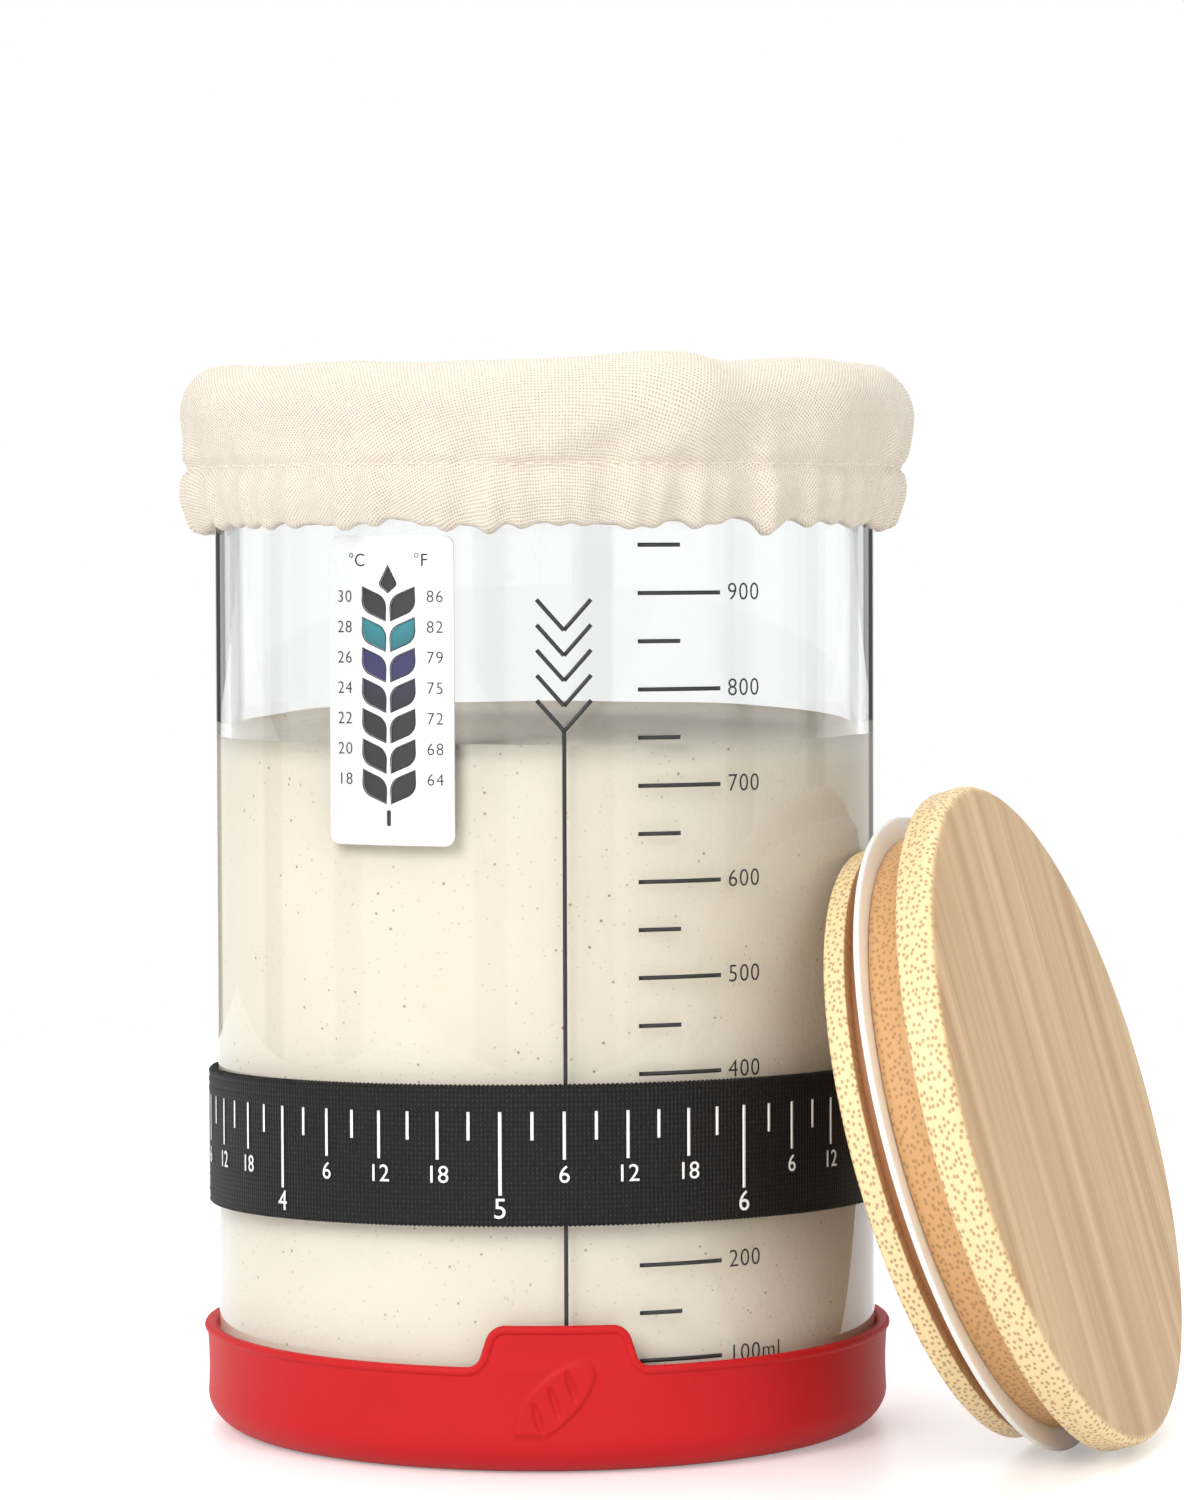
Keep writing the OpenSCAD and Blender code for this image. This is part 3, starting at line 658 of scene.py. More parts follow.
class SetStage(bpy.types.Operator):
    """Sets up the camera, the lamps, the white surround and the floor"""
    bl_idname = "starter_jar.set_stage"
    bl_label = "Stage"

    def execute(self, context):
        """The camera stands 802 mm off and 135 mm up, yawed 2.31 and pitched 2.37 degrees, as in the photograph."""
        scene = context.scene
        scene.view_settings.view_transform = "Standard"
        camera = bpy.data.cameras.new("camera")
        camera.lens = 126.43
        camera.sensor_width = 36
        camera.clip_end = 20
        holder = bpy.data.objects.new("camera", camera)
        yaw, pitch, roll = VIEW_YAW, math.radians(2.369), math.radians(-0.203)
        ahead = np.array([math.sin(yaw) * math.cos(pitch), math.cos(yaw) * math.cos(pitch), -math.sin(pitch)])
        level = np.array([math.cos(yaw), -math.sin(yaw), 0])
        up = np.cross(level, ahead)
        right = level * math.cos(roll) + up * math.sin(roll)
        above = up * math.cos(roll) - level * math.sin(roll)
        turn = np.eye(4)
        turn[:3, 0], turn[:3, 1], turn[:3, 2] = right, above, -ahead
        turn[:3, 3] = (-25.2 * MM, -801.2 * MM, 135.4 * MM)
        holder.matrix_world = Matrix(turn.tolist())
        scene.collection.objects.link(holder)
        scene.camera = holder
        self.add_lamps(scene)
        self.add_surround(scene)
        self.add_floor(scene)
        return {"FINISHED"}

    def add_lamps(self, scene):
        """Soft boxes at the front left, the front right and above, aimed at the jar's middle."""
        for name, place, size, power in (("key", (-0.95, -1.25, 1.0), 1.0, 17.0), ("fill", (0.75, -1.6, 0.8), 1.1, 7.0),
                                         ("top", (0.1, 0.5, 1.6), 1.2, 10.0)):
            lamp = bpy.data.lights.new(name, "AREA")
            lamp.size = size
            lamp.energy = power
            holder = bpy.data.objects.new(name, lamp)
            holder.matrix_world = Matrix.Translation(place) @ Matrix(aim(place, (0, 0, 0.08))).to_4x4()
            holder.visible_transmission = False
            scene.collection.objects.link(holder)

    def add_surround(self, scene):
        """White to the eye and in glass, with four pairs of dark gaps that give glass its edges; dimmer as light.

        A ray's angle from the nearest of four main directions is folded out of its azimuth. Only mirrored and
        refracted rays see the gaps, and rays that leave a matt surface through glass see no surround, because the
        glass lets their light through already.
        """
        ambient, dark = 0.72, 0.85
        gap_middle, gap_half, gap_soft = math.radians(18.5), math.radians(4), math.radians(3)
        world = bpy.data.worlds.new("surround")
        world.use_nodes = True
        tree = world.node_tree
        path = add_node(tree, "ShaderNodeLightPath")
        way = add_node(tree, "ShaderNodeSeparateXYZ", None,
                       {0: add_node(tree, "ShaderNodeTexCoord").outputs["Generated"]})
        turn = add_node(tree, "ShaderNodeMath", {"operation": "ARCTAN2"}, {0: way.outputs["X"], 1: way.outputs["Y"]})
        aside = add_node(tree, "ShaderNodeMath", {"operation": "SUBTRACT"}, {0: turn.outputs[0], 1: VIEW_YAW})
        folded = add_node(tree, "ShaderNodeMath", {"operation": "PINGPONG"}, {0: aside.outputs[0], 1: math.pi / 4})
        off = add_node(tree, "ShaderNodeMath", {"operation": "SUBTRACT"}, {0: folded.outputs[0], 1: gap_middle})
        size = add_node(tree, "ShaderNodeMath", {"operation": "ABSOLUTE"}, {0: off.outputs[0]})
        gap = add_node(tree, "ShaderNodeMapRange", {"interpolation_type": "SMOOTHSTEP"},
                       {"Value": size.outputs[0], "From Min": gap_half, "From Max": gap_half + gap_soft,
                        "To Min": dark, "To Max": 0.0})
        sharp = add_node(tree, "ShaderNodeMath", {"operation": "MAXIMUM"},
                         {0: path.outputs["Is Glossy Ray"], 1: path.outputs["Is Transmission Ray"]})
        lit = add_node(tree, "ShaderNodeMath", {"operation": "MULTIPLY"}, {0: sharp.outputs[0], 1: gap.outputs["Result"]})
        clean = add_node(tree, "ShaderNodeMath", {"operation": "SUBTRACT"}, {0: 1.0, 1: lit.outputs[0]})
        seen = add_node(tree, "ShaderNodeMath", {"operation": "MAXIMUM"},
                        {0: sharp.outputs[0], 1: path.outputs["Is Camera Ray"]})
        direct = add_node(tree, "ShaderNodeMath", {"operation": "LESS_THAN"}, {0: path.outputs["Diffuse Depth"], 1: 0.5})
        bright = add_node(tree, "ShaderNodeMath", {"operation": "MULTIPLY"}, {0: clean.outputs[0], 1: direct.outputs[0]})
        strength = add_node(tree, "ShaderNodeMix", {"data_type": "FLOAT"},
                            {"Factor": seen.outputs[0], "A": ambient, "B": bright.outputs[0]})
        back = tree.nodes["Background"]
        back.inputs["Color"].default_value = (1, 1, 1, 1)
        tree.links.new(strength.outputs["Result"], back.inputs["Strength"])
        scene.world = world

    def add_floor(self, scene):
        """A white floor that keeps the object's shadow and a faint reflection."""
        reach = 0.6
        mesh = bpy.data.meshes.new("floor")
        mesh.from_pydata([(-reach, -reach, 0), (reach, -reach, 0), (reach, reach, 0), (-reach, reach, 0)], [],
                         [(0, 1, 2, 3)])
        material, tree, shader = new_material("white floor", Base_Color=linear("F4F4F4"), Roughness=0.35,
                                              Specular_IOR_Level=0.2)
        path = add_node(tree, "ShaderNodeLightPath")
        seen = add_node(tree, "ShaderNodeMath", {"operation": "MAXIMUM"},
                        {0: path.outputs["Is Camera Ray"], 1: path.outputs["Is Transmission Ray"]})
        glossy = add_node(tree, "ShaderNodeMath", {"operation": "MAXIMUM"},
                          {0: seen.outputs[0], 1: path.outputs["Is Glossy Ray"]})
        lift = add_node(tree, "ShaderNodeMath", {"operation": "MULTIPLY"}, {0: glossy.outputs[0], 1: 0.3})
        glow = add_node(tree, "ShaderNodeEmission", None, {"Strength": lift.outputs[0]})
        both = add_node(tree, "ShaderNodeAddShader", None, {0: shader.outputs[0], 1: glow.outputs[0]})
        tree.links.new(both.outputs[0], tree.nodes["Material Output"].inputs["Surface"])
        mesh.materials.append(material)
        floor = bpy.data.objects.new("floor", mesh)
        scene.collection.objects.link(floor)


def aim(place, target):
    """Rotation that points a lamp's -Z from its place to a target."""
    ahead = np.array(target, float) - np.array(place, float)
    ahead /= np.linalg.norm(ahead)
    right = np.cross(ahead, (0, 0, 1))
    right /= np.linalg.norm(right)
    return np.stack([right, np.cross(right, ahead), -ahead], 1).tolist()


class AddSleeve(bpy.types.Operator):
    """Adds the silicone sleeve with its beaded rim, its tab and the loaf raised under the tab"""
    bl_idname = "starter_jar.add_sleeve"
    bl_label = "Silicone sleeve"

    def execute(self, context):
        """The wall's columns run from an even foot to the rim, whose line climbs over the tab."""
        s = sizes()
        inside = GLASS_R + 0.25 * MM
        outside = inside + s.sleeve_wall
        foot = 6 * MM
        floor = GLASS_BASE
        bearing_low, edge, away = self.rim_line(outside, s)
        columns = len(bearing_low)

        def ring(radius, height):
            """One row at a constant radius and height."""
            return around(radius, FRONT + bearing_low, np.full(columns, height))

        def at_edge(inset, radius):
            """One row that follows the rim line, moved in by inset."""
            x, z = edge[:, 0] - away[:, 0] * inset, edge[:, 1] - away[:, 1] * inset
            return around(radius, FRONT + x / outside, z)

        rows = [ring(r, 0) for r in np.linspace(0, outside - foot, 9)]
        rows += [ring(min(r, self.wall_radius(z, outside)), z)
                 for r, z in arc(outside - foot, foot, foot, -90, 0, 10)[1:]]
        under = 1.15 * s.bead
        for share in np.linspace(0, 1, 56)[1:]:
            x = bearing_low * outside * (1 - share) + (edge[:, 0] - away[:, 0] * under) * share
            z = foot * (1 - share) + (edge[:, 1] - away[:, 1] * under) * share
            radius = self.wall_radius(z, outside) + self.loaf(x, z)
            rows.append(around(radius, FRONT + x / outside, z))
        reach = 0.35 * MM
        rows += [at_edge(inset, radius) for inset, radius in self.bead_section(s.bead, outside, reach)]
        rows += [at_edge(0.12 * MM, inside + 0.5 * MM), at_edge(0.45 * MM, inside)]
        for share in np.linspace(0, 1, 8)[1:]:
            x = bearing_low * outside * share + (edge[:, 0] - away[:, 0] * 0.45 * MM) * (1 - share)
            z = (floor + 5 * MM) * share + (edge[:, 1] - away[:, 1] * 0.45 * MM) * (1 - share)
            rows.append(around(inside, FRONT + x / outside, z))
        rows += [ring(r, z) for r, z in arc(inside - 5 * MM, floor + 5 * MM, 5 * MM, 0, -90, 6)[1:]]
        rows += [ring(r, floor) for r in np.linspace(inside - 5 * MM, 0, 5)[1:]]
        points = np.stack(rows)
        piece = make_piece("sleeve", points, grid_faces(len(rows), columns), moulded_silicone(), "base")
        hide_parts("silicone_sleeve")
        return {"FINISHED"}

    @staticmethod
    def bead_section(bead, outside, reach):
        """The bead's half-round section as (inset from the edge, radius), from under the bead to its top."""
        a = np.radians(np.linspace(-70, 110, 12))
        inset = bead / 2 - bead / 2 * np.sin(a)
        radius = outside - bead / 2 + reach + bead / 2 * np.cos(a)
        return np.stack([inset, radius], 1)

    @staticmethod
    def wall_radius(z, outside):
        """The wall draws in by 0.3 mm on a circle of 60 mm radius about the height of 9.2 mm."""
        waist, depth, middle = 60 * MM, 0.3 * MM, 9.2 * MM
        drawn = outside - depth + waist - np.sqrt(np.maximum(waist ** 2 - (z - middle) ** 2, 0))
        return np.minimum(outside, drawn)

    @staticmethod
    def loaf(x, z):
        """Lift of a loaf in low relief: a flat oval turned by 45 degrees with a soft edge, less three slashes."""
        turn, half_length, half_width, lift = math.radians(45), 7.75 * MM, 3.3 * MM, 0.42 * MM
        middle_x, middle_z = -0.7 * MM, 10.9 * MM
        slash_turn, slash_half, slash_wide, slash_pitch = math.radians(62), 2.5 * MM, 0.6 * MM, 3.4 * MM
        along = (x - middle_x) * math.cos(turn) + (z - middle_z) * math.sin(turn)
        across = (z - middle_z) * math.cos(turn) - (x - middle_x) * math.sin(turn)
        body = np.hypot(along / half_length, across / half_width)
        raised = 1 - smooth_step(body, 0.93, 1.02)
        cut = 0
        for place in (-slash_pitch, 0, slash_pitch):
            run = (along - place) * math.cos(slash_turn) + across * math.sin(slash_turn)
            side = across * math.cos(slash_turn) - (along - place) * math.sin(slash_turn)
            cut = np.maximum(cut, 1 - smooth_step(np.hypot(run / slash_half, side / slash_wide), 0.7, 1.1))
        return lift * raised * (1 - cut)

    @staticmethod
    def rim_line(outside, s):
        """Bearings of the foot's columns, and the rim's line over the tab with its outward direction.

        The line is straight stretches with round corners, cut evenly: finely on the front stretch, where the
        tab is, and coarsely round the rest.
        """
        high, low, reach = sleeve_high.z, s.sleeve_height, 16 * MM
        top_half = s.tab_width / 2 - (high - low) * math.tan(s.tab_slope)
        corners = [(-reach, low, 0), (-s.tab_width / 2, low, 2.2 * MM), (-top_half, high, 3 * MM),
                   (top_half, high, 3 * MM), (s.tab_width / 2, low, 2.2 * MM), (reach, low, 0)]
        line = rounded_line(corners)
        gone = np.concatenate([[0], np.cumsum(np.linalg.norm(np.diff(line, axis=0), axis=1))])
        steps = np.linspace(0, gone[-1], 150)
        front = np.stack([np.interp(steps, gone, line[:, i]) for i in (0, 1)], 1)
        rest_x = np.linspace(reach, TURN * outside - reach, 232)[1:-1]
        rest = np.stack([rest_x, np.full(len(rest_x), low)], 1)
        edge = np.concatenate([front, rest])
        along = np.gradient(front, axis=0)
        along /= np.linalg.norm(along, axis=1)[:, None]
        away = np.concatenate([np.stack([-along[:, 1], along[:, 0]], 1), np.tile([0.0, 1.0], (len(rest), 1))])
        foot = np.concatenate([np.linspace(-reach, reach, len(front)), rest_x]) / outside
        return foot, edge, away


def rounded_line(corners, steps=10):
    """A line through (x, z, radius) corners, open or closed, each rounded by an arc that touches both its sides."""
    points = []
    for i, (x, z, radius) in enumerate(corners):
        here = np.array([x, z])
        if radius == 0:
            points.append(here)
            continue
        before = np.array(corners[i - 1][:2]) - here
        after = np.array(corners[(i + 1) % len(corners)][:2]) - here
        before /= np.linalg.norm(before)
        after /= np.linalg.norm(after)
        half = math.acos(np.clip(before @ after, -1, 1)) / 2
        middle = (before + after) / np.linalg.norm(before + after)
        centre = here + middle * radius / math.sin(half)
        start = here + before * radius / math.tan(half) - centre
        end = here + after * radius / math.tan(half) - centre
        first = math.atan2(start[1], start[0])
        sweep = (math.atan2(end[1], end[0]) - first + math.pi) % TURN - math.pi
        a = first + sweep * np.linspace(0, 1, steps + 1)
        points += list(centre + radius * np.stack([np.cos(a), np.sin(a)], 1))
    return np.array(points)


class AddGlass(bpy.types.Operator):
    """Adds the glass jar: a straight wall, a rounded foot and a fire-polished rim"""
    bl_idname = "starter_jar.add_glass"
    bl_label = "Glass jar"

    def execute(self, context):
        """One closed profile turned round the axis: underside, foot, wall, rim, inside wall, inside foot, floor."""
        s = sizes()
        inner, top = GLASS_R - s.wall, RIM_Z - s.wall / 2
        inner_foot, floor = s.foot - s.wall, GLASS_BASE + s.floor
        profile = np.concatenate([
            [(0, GLASS_BASE), ((GLASS_R - s.foot) / 2, GLASS_BASE)],
            arc(GLASS_R - s.foot, GLASS_BASE + s.foot, s.foot, -90, 0, 16),
            arc(GLASS_R - s.wall / 2, top, s.wall / 2, 0, 180, 16),
            arc(inner - inner_foot, floor + inner_foot, inner_foot, 0, -90, 12),
            [((inner - inner_foot) / 2, floor), (0, floor)],
        ])
        columns = 288
        piece = make_piece("glass", turned(profile, columns), grid_faces(len(profile), columns),
                           borosilicate_glass(), "jar")
        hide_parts("glass_jar")
        return {"FINISHED"}


class AddStarter(bpy.types.Operator):
    """Adds the starter, wet against the glass, with an uneven top that climbs a little at the wall"""
    bl_idname = "starter_jar.add_starter"
    bl_label = "Starter"

    def execute(self, context):
        """The side is turned, and the top's height is a meniscus plus ripples that fade out at the wall."""
        s = sizes()
        # The side lies a hair inside the glass, as a wet paste does, with no air between.
        side = GLASS_R - s.wall + 0.03 * MM
        inner_foot = s.foot - s.wall
        base = GLASS_BASE + s.floor - 0.03 * MM
        columns = 288
        angles = np.arange(columns) * TURN / columns
        top = starter_high.z - 1.0 * MM
        climb = 1.0 * MM + 0.10 * MM * ripple(np.cos(angles), np.sin(angles), 0.55, 3)
        rows = [around(r, angles, np.full(columns, base)) for r in np.linspace(0, side - inner_foot, 6)]
        rows += [around(r, angles, np.full(columns, z))
                 for r, z in arc(side - inner_foot, base + inner_foot, inner_foot, -90, 0, 8)[1:]]
        for share in np.linspace(0, 1, 24)[1:]:
            rows.append(around(side, angles, (base + inner_foot) * (1 - share) + (top + climb) * share))
        for radius in side * np.sin(np.linspace(math.pi / 2, 0, 90))[1:]:
            x, y = radius * np.cos(angles), radius * np.sin(angles)
            near = np.exp(-(side - radius) / (1.1 * MM))
            waves = 0.10 * MM * ripple(x, y, 11 * MM, 7) + 0.06 * MM * ripple(x, y, 3.5 * MM, 8)
            rows.append(around(radius, angles, top + climb * near + waves * (1 - near) * min(1, radius / (3 * MM))))
        points = np.stack(rows)
        piece = make_piece("starter_dough", points, grid_faces(len(rows), columns), risen_starter(), "jar")
        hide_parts("starter")
        return {"FINISHED"}


class AddPrint(bpy.types.Operator):
    """Adds the black print on the glass: the millilitre scale, the long line and its pointer"""
    bl_idname = "starter_jar.add_print"
    bl_label = "Printed scale"

    def execute(self, context):
        """Flat lines and figures are laid out as arc and height, then bent round the glass."""
        s = sizes()
        line = 0.6 * MM
        short, long, label = 6.5 * MM, 13 * MM, 14.2 * MM
        shapes = []
        for step in range(18):
            millilitres = 100 + 50 * step
            height = s.scale_start + s.scale_step * step
            whole = millilitres % 100 == 0
            shapes.append(strip((0, height), (long if whole else short, height), line))
            if whole:
                words = f"{millilitres}ml" if millilitres == 100 else str(millilitres)
                shapes.append(moved(flat_text(words, 2.6 * MM, thin=0.03 * MM, spacing=1.1), label, height))
        piece = self.add("millilitre_scale", joined(shapes), s.scale_bearing)
        low, high = 20 * MM, 107 * MM
        column = [strip((0, low), (0, high), line)]
        for step in range(5):
            tip = high + step * 3.6 * MM
            for side in (-1, 1):
                column.append(strip((0, tip), (side * 3.9 * MM, tip + 4.4 * MM), line))
        self.add("pointer_line", joined(column), s.pointer_bearing)
        return {"FINISHED"}

    @staticmethod
    def add(name, shape, bearing):
        """Bends a flat shape round the glass and adds it in ink."""
        points, faces = wrapped(shape, GLASS_R, bearing)
        ink = bpy.data.materials.get("black enamel") or enamel_ink("black enamel", colours().ink)
        return make_piece(name, points, faces, ink, "jar")


class AddThermometer(bpy.types.Operator):
    """Finishes the thermometer's film and crystal layer, and prints its figures and outlines"""
    bl_idname = "starter_jar.add_thermometer"
    bl_label = "Film thermometer"

    def execute(self, context):
        """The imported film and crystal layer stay, and the print lies on the film."""
        s = sizes()
        for name, material in (("thermometer_film", silver_film()), ("crystal_layer", liquid_crystal())):
            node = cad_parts[name]
            node.data.materials.clear()
            node.data.materials.append(material)
            weld = node.modifiers.new("joined corners", "WELD")
            weld.merge_threshold = 0.002 * MM
            node.data.polygons.foreach_set("use_smooth", [True] * len(node.data.polygons))
            sharpen(node, 30)
        first, figures_x, unit_x, unit_z = 126.2 * MM, 7.35 * MM, 5.2 * MM, 131.4 * MM
        thin = 0.035 * MM
        shapes = []
        for side, figures in ((-1, (30, 28, 26, 24, 22, 20, 18)), (1, (86, 82, 79, 75, 72, 68, 64))):
            for row, figure in enumerate(figures):
                words = flat_text(str(figure), 1.8 * MM, "CENTER", thin, 1.12)
                shapes.append(moved(words, side * figures_x, first - row * LEAF_PITCH))
        for side, unit in ((-1, "°C"), (1, "°F")):
            shapes.append(moved(flat_text(unit, 1.9 * MM, "CENTER", thin / 2), side * unit_x, unit_z))
        edge = 0.13 * MM
        low, wide, high, half, soft = 126.85 * MM, 128 * MM, 130.7 * MM, 1.4 * MM, 0.5 * MM
        shapes.append(loop_line(rounded_line([(0, low, 0), (half, wide, soft), (0, high, 0), (-half, wide, soft)]), edge))
        for row in range(7):
            outline = self.window(LEAF_LOW - row * LEAF_PITCH)
            shapes.append(loop_line(outline, edge))
            shapes.append(loop_line(outline[::-1] * [-1, 1], edge))
        points, faces = wrapped(joined(shapes), GLASS_R + 0.48 * MM, s.film_bearing)
        ink = enamel_ink("black film ink", linear("161616"), 0.5)
        make_piece("thermometer_print", points, faces, ink, "jar")
        return {"FINISHED"}

    @staticmethod
    def window(low):
        """A leaf window's outline: a leaning four-sided shape with two sharp and two round corners."""
        near, wide, rise, side, soft = 0.4 * MM, 3.83 * MM, 1.6 * MM, 3.2 * MM, 2 * MM
        far = near + wide
        return rounded_line([(near, low, 0), (far, low + rise, soft), (far, low + rise + side, 0),
                             (near, low + side, soft)], 6)


class AddBand(bpy.types.Operator):
    """Adds the elastic day band with its looped edges, its sewn lap and its white marks"""
    bl_idname = "starter_jar.add_band"
    bl_label = "Day band"

    def execute(self, context):
        """A flat section with round edges is carried round the glass, and once more over the lap."""
        s = sizes()
        inside = GLASS_R + 0.25 * MM
        outside = inside + s.band_thickness
        material = woven_elastic()
        band = self.carry("band", inside, s.band_thickness, 0, TURN, s, material)
        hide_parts("day_band")
        turn, thickness = math.radians(38), 1.0 * MM
        start = FRONT + s.lap_bearing - turn / 2
        self.carry("band_lap", outside, thickness, start, turn, s, material)
        self.add_marks(outside, s)
        self.add_stitches(outside + thickness, start, turn, s)
        return {"FINISHED"}

    @staticmethod
    def tilt(s):
        """The band's slopes along X and against Y: its middle lies at z = height + x tan(slant) - y tan(tip)."""
        return math.tan(s.band_slant), math.tan(s.band_tip)

    @classmethod
    def carry(cls, name, inside, thickness, start, turn, s, material):
        """Carries the section round the aslant band; a knitted loop every 0.7 mm ripples its edges by 0.2 mm.

        Three ribs near the upper edge stand out by 0.12 mm.
        """
        radius = inside + thickness
        loop_pitch, per_loop, ripple_high, rib_high = 0.7 * MM, 5, 0.1 * MM, 0.12 * MM
        whole = turn > 6
        loops = int(round(turn * radius / loop_pitch))
        columns = loops * per_loop
        angles = start + turn * np.arange(columns + (0 if whole else 1)) / columns
        half, edge = s.band_width / 2, thickness / 2
        flat = np.linspace(-half + edge, half - edge, 48)
        from_top = (half - flat) / (1.3 * MM)
        ribs = rib_high * np.sin(math.pi * from_top) ** 2 * (from_top < 3)
        section = np.concatenate([
            np.stack([radius - 0.12 * MM + ribs, flat], 1),
            arc(radius - edge - 0.12 * MM, half - edge, edge, 0, 180, 6)[1:-1],
            np.stack([np.full(10, inside), np.linspace(half - edge, -half + edge, 10)], 1),
            arc(radius - edge, edge - half, edge, 180, 360, 6)[1:-1],
        ])
        section[:, 0] = np.maximum(section[:, 0], inside)
        looped = ripple_high * np.cos(TURN * np.arange(len(angles)) / per_loop)
        share = smooth_step(np.abs(section[:, 1:]), half - edge, half)
        v = section[:, 1:] + np.sign(section[:, 1:]) * share * (looped[None, :] - ripple_high)
        grid = around(section[:, :1], angles[None, :], v)
        along_x, against_y = cls.tilt(s)
        grid[..., 2] += s.band_height + grid[..., 0] * along_x - grid[..., 1] * against_y
        rows, count = grid.shape[:2]
        faces = grid_faces(rows, count, wrap_rows=True, poles=False, wrap_columns=whole)
        if not whole:
            ends = np.arange(rows) * count
            faces += [ends.tolist(), (ends + count - 1)[::-1].tolist()]
        arc_length = np.broadcast_to((angles * radius)[None, :], (rows, count))
        flat_map = np.stack([arc_length, np.broadcast_to(v, (rows, count))], -1)
        return make_piece(name, grid, faces, material, "band", flat_map)

    @classmethod
    def add_marks(cls, radius, s):
        """Each day has a tall line, a middling one at every six hours and a short one at every three."""
        top, thin = 6.35 * MM, 0.46 * MM
        whole_day, quarter_day, short = 12.0 * MM, 6.9 * MM, 4.1 * MM
        shapes = []
        for day in range(1, 8):
            for hours in range(0, 24, 3):
                place = radius * s.day_turn * (day - 5 + hours / 24)
                drop = whole_day if hours == 0 else quarter_day if hours % 6 == 0 else short
                shapes.append(strip((place, top), (place, top - drop), thin if hours else 1.1 * thin))
                if hours and hours % 6 == 0:
                    shapes.append(moved(flat_text(str(hours), 2.55 * MM, "CENTER"), place, -2.8 * MM))
            shapes.append(moved(flat_text(str(day), 3.0 * MM, "CENTER"), radius * s.day_turn * (day - 5), -7.7 * MM))
        cls.print_on("band_marks", shapes, radius, s.band_day, enamel_ink("white textile ink", linear("F4F4F2"), 0.6), s)

    @classmethod
    def add_stitches(cls, radius, start, turn, s):
        """Two rows of short black stitches hold each end of the lap."""
        shapes = []
        for share in (0.06, 0.14, 0.86, 0.94):
            place = (start + turn * share - FRONT) * radius
            for row in range(8):
                low = -8.4 * MM + row * 2.2 * MM
                shapes.append(strip((place, low), (place + 0.15 * MM, low + 1.5 * MM), 0.35 * MM))
        cls.print_on("band_stitches", shapes, radius, 0, enamel_ink("black thread", linear("202022"), 0.7), s)

    @classmethod
    def print_on(cls, name, shapes, radius, bearing, ink, s):
        """Bends flat shapes, drawn about the band's middle line, on to the band."""
        points, faces = joined(shapes)
        points, faces = wrapped((points + [0, s.band_height, 0], faces), radius, bearing, cls.tilt(s))
        return make_piece(name, points, faces, ink, "band")


